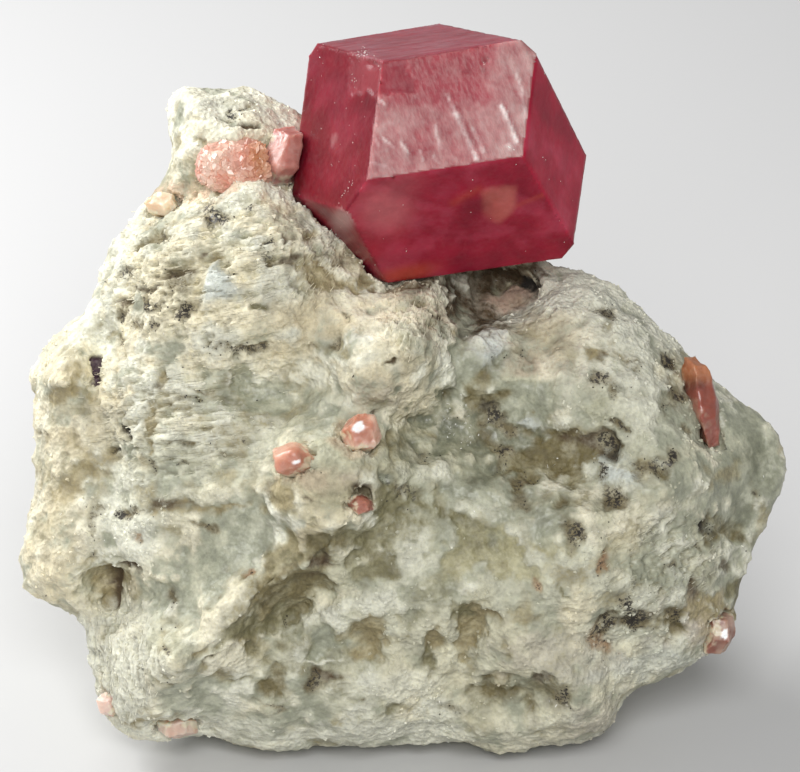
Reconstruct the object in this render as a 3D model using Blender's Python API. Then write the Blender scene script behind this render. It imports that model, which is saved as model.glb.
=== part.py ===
"""Grossular garnet specimen: a raspberry-red dodecahedral crystal perched on a lump of pale
matrix rock, with small pink and orange garnets set in the rock around it.

Everything is drawn in the display frame, in millimetres: x to the right, y away from the
viewer and z up the face of the specimen. The whole specimen then leans back on its sawn-flat
foot, so that its broken front face looks up at the viewer.
"""

import math
import random

import bmesh
import bpy
import numpy as np
from mathutils import Euler, Matrix, Vector, noise
from mathutils.bvhtree import BVHTree

MM = 0.001
GAP = 0.25  # clearance between a crystal and the pocket that it grew in

LEAN = math.radians(30)  # how far the front face leans back from upright
FOOT_LEVEL = -19.9  # height of the flat foot below the middle of the face, once leaning

# The ragged edge of the rock as seen from the front, clockwise from the top of the spur.
OUTLINE = [
    (-14.0, 17.8), (-12.4, 18.2), (-10.9, 17.8), (-8.9, 18.2), (-8.2, 17.4), (-7.0, 16.7),
    (-5.9, 16.3), (-3.6, 15.0), (-0.6, 13.4), (2.4, 11.9), (6.0, 9.9), (8.7, 7.5), (9.9, 6.9),
    (11.9, 6.5), (13.2, 5.6), (14.8, 4.3), (16.2, 2.9), (17.6, 1.5), (18.5, 0.3), (20.2, -1.0),
    (22.8, -1.9), (22.9, -3.5), (23.2, -5.5), (22.5, -7.0), (21.3, -9.6), (20.4, -12.2),
    (19.8, -15.1), (18.1, -16.2), (16.9, -17.3), (14.5, -18.2), (13.4, -18.9), (12.7, -20.5),
    (11.2, -21.5), (8.4, -21.5), (6.4, -21.9), (4.0, -21.5), (0.9, -21.4), (-2.0, -21.8),
    (-5.8, -21.5), (-6.9, -22.3), (-9.0, -21.7), (-11.4, -21.0), (-13.9, -21.1), (-16.1, -21.1),
    (-17.8, -19.6), (-18.2, -18.0), (-18.4, -16.4), (-18.9, -14.0), (-20.6, -13.4), (-22.8, -12.3),
    (-23.0, -10.8), (-22.2, -7.5), (-22.0, -4.0), (-21.8, -1.0), (-22.4, 1.2), (-20.5, 2.7),
    (-19.2, 4.2), (-18.5, 5.0), (-17.8, 7.8), (-16.8, 9.2), (-15.6, 10.9), (-14.1, 12.2),
    (-13.7, 14.0), (-14.0, 16.4),
]
OUTLINE_CENTRE = (0.0, -3.8)  # every point of the outline can be seen from here
POINTS_PER_SIDE = 8  # how finely each side of the outline is followed
VIEWER = -60.0  # y of a point well in front of the specimen

FRONT_DEPTH, FRONT_WIDTH = 9.0, 15.0  # how far the front swells, and how far in from the edge
BACK_DEPTH, BACK_WIDTH = 14.5, 13.0
HEEL = ((0.0, -17.5), (19.0, 7.5), 11.0, 0, 2.0)  # fills the lower back out, down to the foot
HEEL_EDGE = 2.5  # how far in from the outline the heel reaches its full depth
EDGE_POWER = 0.7  # 0.5 is a round edge, 1 a sharp one
RELIEF_EDGE = 1.5  # how far in from the outline the front's relief reaches its full height
FRONT_SHARE = 0.25  # moves mesh rows from the plain back to the detailed front
ROCK_CELLS = 25  # mesh cells along each side of the cube that becomes the rock

# Swellings and hollows of the front: place (x, z), radii, height towards the viewer, turn in
# degrees and crispness, where 1 is a soft swelling and 3 a flat top with steep sides.
MOUNDS = {
    "spur block": ((-10.1, 15.1), (4.3, 3.3), 1.2, 0, 2.0),
    "left mass": ((-11.1, 6.1), (6.5, 5.5), 2.2, 0, 1.5),
    "knob": ((-20.6, 1.0), (1.9, 2.2), 2.0, 0, 1.5),
    "glassy basin": ((-7.0, 0.4), (3.3, 2.2), -2.2, 0, 1.5),
    "central lump": ((-0.5, 1.1), (3.2, 2.9), 3.4, 0, 2.5),
    "shelf": ((-3.9, -5.6), (4.4, 3.3), 3.4, 15, 3.0),
    "hollow by the rib": ((-6.2, -12.9), (3.2, 1.7), -2.2, 32, 1.5),
    "left hollow": ((-16.2, -12.4), (1.8, 1.7), -2.4, 0, 2.0),
    "left foot block": ((-15.0, -17.3), (3.4, 3.8), 1.4, 0, 2.0),
    "crystal seat": ((1.8, 11.2), (6.6, 4.8), -4.5, -15, 1.5),
    "cavity under the crystal": ((5.6, 5.6), (3.0, 1.9), -4.0, 0, 2.0),
    "cream strip": ((1.1, 3.9), (1.7, 2.6), 1.8, 0, 2.5),
    "right mass": ((13.8, -0.2), (5.0, 6.5), 1.6, 0, 1.5),
    "far right block": ((21.6, -5.6), (3.2, 7.0), -1.6, 0, 3.0),
    "boss": ((11.4, -10.4), (4.0, 3.0), 1.2, 0, 1.5),
    "pit below the valley": ((3.9, -15.2), (1.6, 2.2), -1.4, 0, 2.0),
    "pit under the shelf": ((-3.0, -15.5), (2.6, 1.5), -1.2, 0, 2.0),
    "pit at the foot": ((6.3, -18.5), (3.0, 1.6), -1.2, 0, 2.0),
    "right foot lobe": ((10.2, -18.8), (3.5, 2.2), 0.8, 0, 1.5),
}
# Ribs and grooves of the front: start (x, z), end (x, z), half width, height.
RIBS = {
    "garnet groove": ((-5.7, 14.2), (-15.0, 10.4), 1.3, -1.4),
    "knob crevice": ((-17.8, 2.9), (-18.3, -0.4), 1.0, -1.8),
    "left valley": ((-17.1, -3.2), (-16.8, -10.4), 1.6, -1.2),
    "rib": ((-4.4, -9.9), (-12.6, -16.2), 1.5, 2.4),
    "right valley": ((1.8, -1.7), (11.1, -4.1), 2.6, -2.6),
    "right crevice": ((17.0, 1.4), (18.2, -3.8), 0.8, -1.7),
}
# Broad break faces round the back and sides: outward direction and distance from the middle.
BREAKS = [
    ((0.15, 1.0, 0.25), 11.5),
    ((-0.75, 0.75, 0.1), 15.5),
    ((0.85, 0.6, -0.1), 16.0),
    ((0.1, 0.8, 0.75), 12.5),
    ((-0.6, 0.75, -0.3), 16.5),
    ((0.5, 0.75, 0.6), 13.8),
]
BREAK_FLATNESS = 0.85  # 1 would be a perfectly flat break
BREAK_START = 5.0  # how far behind the outline the breaks reach their full depth

LUMP_SIZE, LUMP_HEIGHT, LUMP_OCTAVES = 5.0, 0.75, 2  # the rock's own unevenness, broad
GRAIN_SIZE, GRAIN_HEIGHT, GRAIN_SEED = 2.2, 0.32, Vector((7, 3, 5))  # and fine
EDGE_CALM, CALM_WIDTH = 0.35, 2.6  # the outline is already ragged, so less is added near it

# The big crystal is a dodecahedron of {110} faces. Each is as far out as it grew, and its
# outward direction strays a little from the ideal one.
GARNET_PLACE = (2.38, -4.5, 13.7)
GARNET_TURN = (45.5, 17.3, -119.0)
GARNET_FACES = {
    (1, 1, 0): 7.34,
    (0, 1, 1): 7.06,
    (1, 0, 1): 7.07,
    (1, 0, -1): 6.23,
    (0, 1, -1): 7.77,
    (1, -1, 0): 7.81,
    (-1, 1, 0): 6.0,
    (0, -1, 1): 7.74,
    (-1, 0, 1): 7.19,
    (0, -1, -1): 6.53,
    (-1, 0, -1): 7.23,
    (-1, -1, 0): 7.3,
}
GARNET_STRAYS = {
    (1, 1, 0): (0.012, -0.012, -0.004),
    (0, 1, 1): (-0.021, 0.006, -0.007),
    (1, 0, 1): (0.009, -0.031, -0.011),
    (1, 0, -1): (0.006, -0.04, 0.008),
    (0, 1, -1): (-0.031, -0.005, -0.003),
    (1, -1, 0): (0.014, 0.015, 0.022),
    (-1, 1, 0): (-0.045, -0.052, -0.011),
    (0, -1, 1): (0.012, -0.012, -0.013),
    (-1, 0, 1): (0.008, -0.018, 0.008),
    (0, -1, -1): (0.021, -0.02, 0.022),
    (-1, 0, -1): (0.005, -0.019, -0.004),
}

# Small garnets: place (x, z), size as the distance of the faces from the middle, turn in
# degrees, stretch along x, y and z, how far the stretched form then leans to the right in
# degrees, and how deep the middle lies under the rock's face.
SMALL_GARNETS = {
    "salmon_garnet": ((-6.85, 13.6), 1.35, (20, 35, 10), (0.8, 0.95, 1.3), 24, -0.7),
    "spur_garnet": ((-14.2, 10.8), 0.75, (50, 10, 30), (1.1, 1.0, 0.9), 0, 0.1),
    "shelf_garnet": ((-2.2, -2.8), 1.0, (35, 20, 60), (1.0, 1.0, 1.0), 0, 0.1),
    "lobe_garnet": ((-6.0, -4.4), 1.15, (15, 40, 80), (1.25, 1.0, 0.85), 20, 0.35),
    "pocket_garnet": ((-2.3, -6.9), 0.65, (70, 20, 15), (1.1, 1.0, 0.8), 0, 0.2),
    "crevice_garnet": ((17.9, -0.9), 1.25, (25, 55, 5), (0.6, 1.0, 1.9), -13, 0.3),
    "corner_garnet": ((19.0, -14.8), 0.95, (10, 30, 45), (0.9, 1.0, 1.2), 15, 0.2),
    "left_foot_garnet": ((-17.4, -19.0), 0.7, (40, 15, 25), (1.0, 1.0, 1.0), 0, 0.1),
    "foot_garnet": ((-13.3, -20.4), 0.8, (60, 30, 10), (1.4, 1.0, 0.7), 0, 0.1),
}
HABIT_SPREAD = 0.12  # how unevenly the faces of a small garnet grew

# The pink crust of tiny garnets in the groove: place (x, z), radii, depth and roughness.
CRUST_PLACE, CRUST_RADII, CRUST_DEPTH = (-9.6, 13.0), (2.3, 1.1, 1.5), 0.3
CRUST_LUMP_SIZE, CRUST_LUMP_HEIGHT, CRUST_FINENESS = 1.1, 0.25, 3

MATRIX_COLOUR = (0.66, 0.64, 0.54, 1)
GARNET_COLOUR = (0.34, 0.035, 0.06, 1)
PINK_COLOUR = (0.60, 0.24, 0.20, 1)
ORANGE_COLOUR = (0.50, 0.15, 0.07, 1)


def clear_scene():
    for old in list(bpy.data.objects):
        bpy.data.objects.remove(old)


def new_collection(name):
    made = bpy.data.collections.new(name)
    bpy.context.scene.collection.children.link(made)
    return made


def material(name, colour, roughness):
    made = bpy.data.materials.new(name)
    made.use_nodes = True
    shader = made.node_tree.nodes["Principled BSDF"]
    shader.inputs["Base Color"].default_value = colour
    shader.inputs["Roughness"].default_value = roughness
    shader.inputs["Metallic"].default_value = 0.0
    return made


def add_object(name, form, collection, parent, finish):
    """Puts a bmesh drawn in millimetres into the collection as an object in metres."""
    form.transform(Matrix.Scale(MM, 4))
    mesh = bpy.data.meshes.new(name)
    form.to_mesh(mesh)
    form.free()
    made = bpy.data.objects.new(name, mesh)
    collection.objects.link(made)
    made.parent = parent
    if finish:
        mesh.materials.append(finish)
    return made


def outline_by_angle():
    """The outline as sorted angles about its centre and the radius at each."""
    ring = np.array(OUTLINE, float)
    along = np.linspace(0, 1, POINTS_PER_SIDE, endpoint=False)[:, None]
    points = np.concatenate([a + (b - a) * along for a, b in zip(ring, np.roll(ring, -1, axis=0))])
    points -= OUTLINE_CENTRE
    angles = np.arctan2(points[:, 1], points[:, 0])
    order = np.argsort(angles)
    return angles[order], np.hypot(points[:, 0], points[:, 1])[order]


def distance_to_segment(x, z, start, end):
    ax, az = start
    bx, bz = end[0] - ax, end[1] - az
    share = np.clip(((x - ax) * bx + (z - az) * bz) / (bx * bx + bz * bz), 0, 1)
    return np.hypot(x - ax - share * bx, z - az - share * bz)


def distance_to_outline(x, z):
    sides = zip(OUTLINE, OUTLINE[1:] + OUTLINE[:1])
    return np.min([distance_to_segment(x, z, a, b) for a, b in sides], axis=0)


def swell(distance, depth, width):
    """A cushion's profile: how far it stands out at this distance in from its edge."""
    share = np.clip(distance / width, 0, 1)
    return depth * (1 - (1 - share) ** 2) ** EDGE_POWER


def mound(x, z, place, radii, height, turn, crispness):
    c, s = math.cos(math.radians(turn)), math.sin(math.radians(turn))
    across = ((x - place[0]) * c + (z - place[1]) * s) / radii[0]
    up = ((z - place[1]) * c - (x - place[0]) * s) / radii[1]
    return height * np.exp(-((across**2 + up**2) ** crispness))


def rib(x, z, start, end, half_width, height):
    return height * np.exp(-((distance_to_segment(x, z, start, end) / half_width) ** 2))


def front_relief(x, z):
    """How far the named swellings and hollows stand towards the viewer."""
    return sum(mound(x, z, *m) for m in MOUNDS.values()) + sum(rib(x, z, *r) for r in RIBS.values())


def unevenness(points):
    """Rock roughness at each point, along the line out from the middle."""
    broad = [noise.fractal(Vector(p) / LUMP_SIZE, 1.0, 2.0, LUMP_OCTAVES) for p in points]
    fine = [noise.noise(Vector(p) / GRAIN_SIZE + GRAIN_SEED) for p in points]
    return LUMP_HEIGHT * np.array(broad) + GRAIN_HEIGHT * np.array(fine)


def rock_points(directions):
    """Turns unit directions into points of the rock's surface in the display frame."""
    angles, radii = outline_by_angle()
    towards = -directions[:, 1] + FRONT_SHARE
    front = towards > 0
    rise = np.where(front, towards / (1 + FRONT_SHARE), -towards / (1 - FRONT_SHARE))
    angle = np.arctan2(directions[:, 2], directions[:, 0])
    reach = np.interp(angle, angles, radii, period=2 * math.pi) * np.sqrt(1 - rise**2)
    x = OUTLINE_CENTRE[0] + reach * np.cos(angle)
    z = OUTLINE_CENTRE[1] + reach * np.sin(angle)
    inside = distance_to_outline(x, z)
    shown = swell(inside, FRONT_DEPTH, FRONT_WIDTH)
    shown += front_relief(x, z) * np.clip(inside / RELIEF_EDGE, 0, 1)
    hidden = swell(inside, BACK_DEPTH, BACK_WIDTH)
    hidden += mound(x, z, *HEEL) * np.clip(inside / HEEL_EDGE, 0, 1)
    points = np.stack([x, np.where(front, -shown, hidden), z], axis=1)
    for direction, reach in BREAKS:
        out = np.array(Vector(direction).normalized())
        beyond = np.clip(points @ out - reach, 0, None) * np.clip(points[:, 1] / BREAK_START, 0, 1)
        points -= (beyond * BREAK_FLATNESS)[:, None] * out
    outward = points - np.array([OUTLINE_CENTRE[0], 0, OUTLINE_CENTRE[1]])
    outward /= np.linalg.norm(outward, axis=1)[:, None]
    strength = EDGE_CALM + (1 - EDGE_CALM) * np.clip(inside / CALM_WIDTH, 0, 1)
    return points + outward * (unevenness(points) * strength)[:, None]


def rock_form():
    """The whole rock before its pockets are cut, as a bmesh in the display frame."""
    form = bmesh.new()
    bmesh.ops.create_cube(form, size=2)
    bmesh.ops.subdivide_edges(form, edges=form.edges, cuts=ROCK_CELLS - 1, use_grid_fill=True)
    directions = np.array([v.co.normalized() for v in form.verts])
    for vertex, place in zip(form.verts, rock_points(directions)):
        vertex.co = place
    down = Matrix.Rotation(LEAN, 3, "X") @ Vector((0, 0, -1))
    cut = bmesh.ops.bisect_plane(
        form,
        geom=form.verts[:] + form.edges[:] + form.faces[:],
        plane_co=down * -FOOT_LEVEL,
        plane_no=down,
        clear_outer=True,
    )
    rim = [part for part in cut["geom_cut"] if isinstance(part, bmesh.types.BMEdge)]
    bmesh.ops.contextual_create(form, geom=rim)
    bmesh.ops.triangulate(form, faces=form.faces)
    bmesh.ops.recalc_face_normals(form, faces=form.faces)
    return form


def crystal_form(faces, grown=0.0, strays=None):
    """A convex crystal: a cube cut by one plane for each face, at its distance from the middle."""
    strays = strays or {}
    form = bmesh.new()
    bmesh.ops.create_cube(form, size=8 * max(faces.values()))
    for direction, distance in faces.items():
        ideal = Vector(direction).normalized()
        out = (ideal + Vector(strays.get(direction, (0, 0, 0)))).normalized()
        cut = bmesh.ops.bisect_plane(
            form,
            geom=form.verts[:] + form.edges[:] + form.faces[:],
            plane_co=out * (distance + grown),
            plane_no=out,
            clear_outer=True,
        )
        rim = [part for part in cut["geom_cut"] if isinstance(part, bmesh.types.BMEdge)]
        bmesh.ops.contextual_create(form, geom=rim)
    bmesh.ops.recalc_face_normals(form, faces=form.faces)
    return form


def small_habit(size, seed):
    """Face distances of a small dodecahedron that grew a little unevenly."""
    chance = random.Random(seed)
    return {face: size * (1 + chance.uniform(-HABIT_SPREAD, HABIT_SPREAD)) for face in GARNET_FACES}


def crust_form(grown=0.0):
    form = bmesh.new()
    bmesh.ops.create_icosphere(form, subdivisions=CRUST_FINENESS, radius=1)
    for vertex in form.verts:
        out = vertex.co.normalized()
        round_form = Vector(a * b for a, b in zip(out, CRUST_RADII))
        lump = noise.noise(round_form / CRUST_LUMP_SIZE) * CRUST_LUMP_HEIGHT
        vertex.co = round_form + out * (lump + grown)
    return form


def placing(place, turn=(0, 0, 0), stretch=(1, 1, 1), lean=0):
    spin = Euler([math.radians(a) for a in turn]).to_matrix().to_4x4()
    tip = Matrix.Rotation(math.radians(lean), 4, "Y")
    return Matrix.Translation(place) @ tip @ Matrix.Diagonal((*stretch, 1)) @ spin


def face_place(face, place, depth):
    """The point this deep under the rock's front at (x, z), found by looking from the viewer."""
    hit = face.ray_cast(Vector((place[0], VIEWER, place[1])), Vector((0, 1, 0)))[0]
    return hit + Vector((0, depth, 0))


def settle(holder, pieces):
    """Moves the leaning specimen so that its box stands on the origin."""
    bpy.context.view_layer.update()
    corners = np.array([piece.matrix_world @ v.co for piece in pieces for v in piece.data.vertices])
    low, high = corners.min(axis=0), corners.max(axis=0)
    holder.location = (-(low[0] + high[0]) / 2, -(low[1] + high[1]) / 2, -low[2])


def main():
    clear_scene()
    specimen = new_collection("Garnet specimen")
    cutters = new_collection("Pocket cutters")
    holder = bpy.data.objects.new("lean", None)
    specimen.objects.link(holder)
    holder.rotation_euler = (-LEAN, 0, 0)

    rock = rock_form()
    face = BVHTree.FromBMesh(rock)
    matrix = add_object("matrix", rock, specimen, holder, material("matrix rock", MATRIX_COLOUR, 0.8))
    red = material("raspberry garnet", GARNET_COLOUR, 0.25)
    pink = material("pink garnet", PINK_COLOUR, 0.3)
    orange = material("orange garnet", ORANGE_COLOUR, 0.3)
    pieces = [matrix]

    def cut_pocket(piece, cutter):
        cut = piece.modifiers.new(cutter.name, "BOOLEAN")
        cut.solver = "EXACT"
        cut.object = cutter

    def set_in_rock(name, make, where, finish, neighbour=None):
        """Adds a piece that fits round its neighbour, and cuts a pocket for it in the rock."""
        solid, pocket = make(0.0), make(GAP)
        solid.transform(where)
        pocket.transform(where)
        piece = add_object(name, solid, specimen, holder, finish)
        pieces.append(piece)
        cutter = add_object(f"{name}_pocket", pocket, cutters, holder, None)
        cutter.hide_render = True
        cutter.display_type = "WIRE"
        cut_pocket(matrix, cutter)
        if neighbour:
            cut_pocket(piece, cutters.objects[f"{neighbour}_pocket"])

    set_in_rock(
        "main_garnet",
        lambda grown: crystal_form(GARNET_FACES, grown, GARNET_STRAYS),
        placing(GARNET_PLACE, GARNET_TURN),
        red,
    )
    for seed, (name, sizes) in enumerate(SMALL_GARNETS.items()):
        place, size, turn, stretch, lean, depth = sizes
        habit = small_habit(size, seed)
        set_in_rock(
            name,
            lambda grown, habit=habit: crystal_form(habit, grown),
            placing(face_place(face, place, depth), turn, stretch, lean),
            orange if name == "crevice_garnet" else pink,
            "main_garnet" if name == "salmon_garnet" else None,
        )
    set_in_rock(
        "pink_garnet_crust",
        crust_form,
        placing(face_place(face, CRUST_PLACE, CRUST_DEPTH)),
        pink,
        "salmon_garnet",
    )
    settle(holder, pieces)


main()
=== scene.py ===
# The looks of a grossular garnet specimen: one big raspberry-red crystal on a broken lump of pale,
# granular and fibrous rock, with small pink and orange garnets set in it.
import math
import random

import bmesh
import bpy
import numpy as np
from mathutils import Euler, Matrix, Vector, noise
from mathutils.bvhtree import BVHTree


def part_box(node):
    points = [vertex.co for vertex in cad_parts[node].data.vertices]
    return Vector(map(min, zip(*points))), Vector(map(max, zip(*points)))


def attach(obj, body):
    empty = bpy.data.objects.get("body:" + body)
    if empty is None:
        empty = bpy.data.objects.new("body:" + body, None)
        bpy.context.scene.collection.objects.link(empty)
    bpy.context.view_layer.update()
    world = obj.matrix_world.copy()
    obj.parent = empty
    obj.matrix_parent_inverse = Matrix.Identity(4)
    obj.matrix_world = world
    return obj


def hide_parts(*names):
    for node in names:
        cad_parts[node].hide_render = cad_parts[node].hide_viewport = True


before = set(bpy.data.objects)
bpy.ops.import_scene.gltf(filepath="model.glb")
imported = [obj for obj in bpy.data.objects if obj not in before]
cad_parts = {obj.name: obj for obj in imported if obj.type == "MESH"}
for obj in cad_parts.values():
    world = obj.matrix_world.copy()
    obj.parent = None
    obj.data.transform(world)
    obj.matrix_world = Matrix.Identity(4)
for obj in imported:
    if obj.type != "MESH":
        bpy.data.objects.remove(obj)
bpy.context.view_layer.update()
print("frame loaded:", len(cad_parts), "nodes")

mm = 0.001

# The photographed face is drawn upright, x right, y away and z up, in mm, and then leans back.
pose = {
    "lean": math.radians(30),
    "garnetMiddle": Vector((2.0123, -4.4258, 13.6369)),  # mean of the big crystal's corners, upright
    "garnetTurn": (45.5, 17.3, -119.0),
}


def cornersOf(nodeName):
    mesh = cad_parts[nodeName].data
    return np.unique(np.round([v.co[:] for v in mesh.vertices], 7), axis=0)


leanBack = np.array(Matrix.Rotation(-pose["lean"], 3, "X"))
origin = cornersOf("main_garnet").mean(axis=0) - leanBack @ np.array(pose["garnetMiddle"]) * mm


def toUpright(points):
    return (np.asarray(points) - origin) @ leanBack / mm


def toFrame(points):
    return (np.asarray(points) * mm) @ leanBack.T + origin


# Small helpers

def linear(hexColour):
    channels = [int(hexColour[i:i + 2], 16) / 255 for i in (1, 3, 5)]
    return np.array([c / 12.92 if c <= 0.04045 else ((c + 0.055) / 1.055) ** 2.4 for c in channels])


def addNode(tree, kind, inputs=None, **settings):
    node = tree.nodes.new(kind)
    for name, value in settings.items():
        setattr(node, name, value)
    for name, value in (inputs or {}).items():
        if isinstance(value, bpy.types.NodeSocket):
            tree.links.new(value, node.inputs[name])
        else:
            node.inputs[name].default_value = value
    return node


def newMaterial(name):
    made = bpy.data.materials.new(name)
    made.use_nodes = True
    made.node_tree.nodes.clear()
    return made


def newObject(name, mesh):
    made = bpy.data.objects.new(name, mesh)
    bpy.context.scene.collection.objects.link(made)
    return made


def readPoints(mesh):
    values = np.zeros(len(mesh.vertices) * 3, np.float32)
    mesh.vertices.foreach_get("co", values)
    return values.reshape(-1, 3).astype(float)


def readNormals(mesh):
    values = np.zeros(len(mesh.vertices) * 3, np.float32)
    mesh.vertex_normals.foreach_get("vector", values)
    return values.reshape(-1, 3).astype(float)


def setPoints(mesh, points):
    mesh.vertices.foreach_set("co", np.asarray(points, np.float32).ravel())
    mesh.update()


def store(mesh, name, values):
    values = np.asarray(values, np.float32)
    width = 1 if values.ndim == 1 else values.shape[1]
    kind, key = {1: ("FLOAT", "value"), 3: ("FLOAT_VECTOR", "vector"), 4: ("FLOAT_COLOR", "color")}[width]
    made = mesh.attributes.new(name, kind, "POINT")
    made.data.foreach_set(key, values.ravel())


def storeColour(mesh, name, colours):
    store(mesh, name, np.hstack([np.clip(colours, 0, 1), np.ones((len(colours), 1))]))


def weldedCopy(nodeName, name):
    form = bmesh.new()
    form.from_mesh(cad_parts[nodeName].data)
    bmesh.ops.remove_doubles(form, verts=form.verts, dist=1e-6)
    bmesh.ops.dissolve_limit(form, angle_limit=math.radians(0.5), verts=form.verts, edges=form.edges)
    mesh = bpy.data.meshes.new(name)
    form.to_mesh(mesh)
    form.free()
    return newObject(name, mesh)


def finishWith(piece, finish):
    piece.data.materials.clear()
    piece.data.materials.append(finish)


def applied(piece):
    piece.data = bpy.data.meshes.new_from_object(piece.evaluated_get(bpy.context.evaluated_depsgraph_get()))
    piece.modifiers.clear()
    return piece.data


def ramp(values, low, high):
    share = np.clip((values - low) / (high - low), 0, 1)
    return share * share * (3 - 2 * share)


def cloud(points, size, octaves=3, shift=0.0):
    return np.array([noise.fractal(p, 1.0, 2.0, octaves) for p in (points / size + shift).tolist()])


def patch(x, z, place, radii, turn=0.0, sharpness=1.5, ragged=1.0):
    c, s = math.cos(math.radians(turn)), math.sin(math.radians(turn))
    across = ((x - place[0]) * c + (z - place[1]) * s) / radii[0]
    up = ((z - place[1]) * c - (x - place[0]) * s) / radii[1]
    return np.exp(-(((across**2 + up**2) * ragged) ** sharpness))


def anyOf(x, z, patches):
    shown = np.zeros(len(x))
    for one in patches:
        shown = np.maximum(shown, patch(x, z, *one))
    return shown


def blend(under, over, share):
    return under + (over - under) * share[:, None]


# Matrix rock

rock = {
    "cell": 0.2,  # mm between mesh points on the broken front
    "softening": 6,  # rounds that take off the solid's facets
    "hiddenShare": 0.6,  # how many faces are kept, all taken from the back
    "lump": (3.2, 0.34),  # size and height of each kind of unevenness, mm
    "crumb": (1.0, 0.20),
    "grit": (0.42, 0.07),
    "skin": (2.1, 0.10),  # the opaque white skin over the glassy ground
    "bareShare": 0.22,  # how much of the ground shows through the skin everywhere
    "hollowDepth": 0.52,  # how much of each mark's height is used
    "strandLength": 2.0,
    "strandWidth": 0.26,
    "strandHeight": 0.20,
    "fibre": (1.3, 0.11),  # length and width of the finest blades, which only the finish shows
    "collar": (0.45, 0.22),  # how wide and how high the rock grows up against each crystal
}

# Bladed, fibrous parts of the rock: place, radii, turn, then the way the blades run, in degrees.
strandZones = [
    ((-11.5, 7.2), (6.5, 5.0), 0, 12),
    ((-13.2, -1.6), (5.6, 4.2), 0, 5),
    ((-4.9, 7.0), (1.6, 3.0), -30, 60),
    ((-16.6, -16.6), (2.4, 3.6), 0, 96),
    ((1.2, 3.6), (2.4, 2.2), 0, 85),
    ((15.5, -10.0), (3.6, 3.0), 0, 28),
]

# Where the rock is granular, like coarse sugar: place, radii, turn.
sugaryZones = [
    ((14.0, 0.5), (5.5, 7.5)),
    ((14.5, -13.5), (5.0, 4.5)),
    ((3.0, -18.5), (4.5, 2.0)),
    ((-17.0, -8.5), (4.0, 4.0)),
    ((1.0, -13.0), (5.0, 3.5)),
    ((-9.8, 10.2), (3.5, 2.0)),
    ((-20.0, 1.4), (2.0, 1.6)),
]

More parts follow.
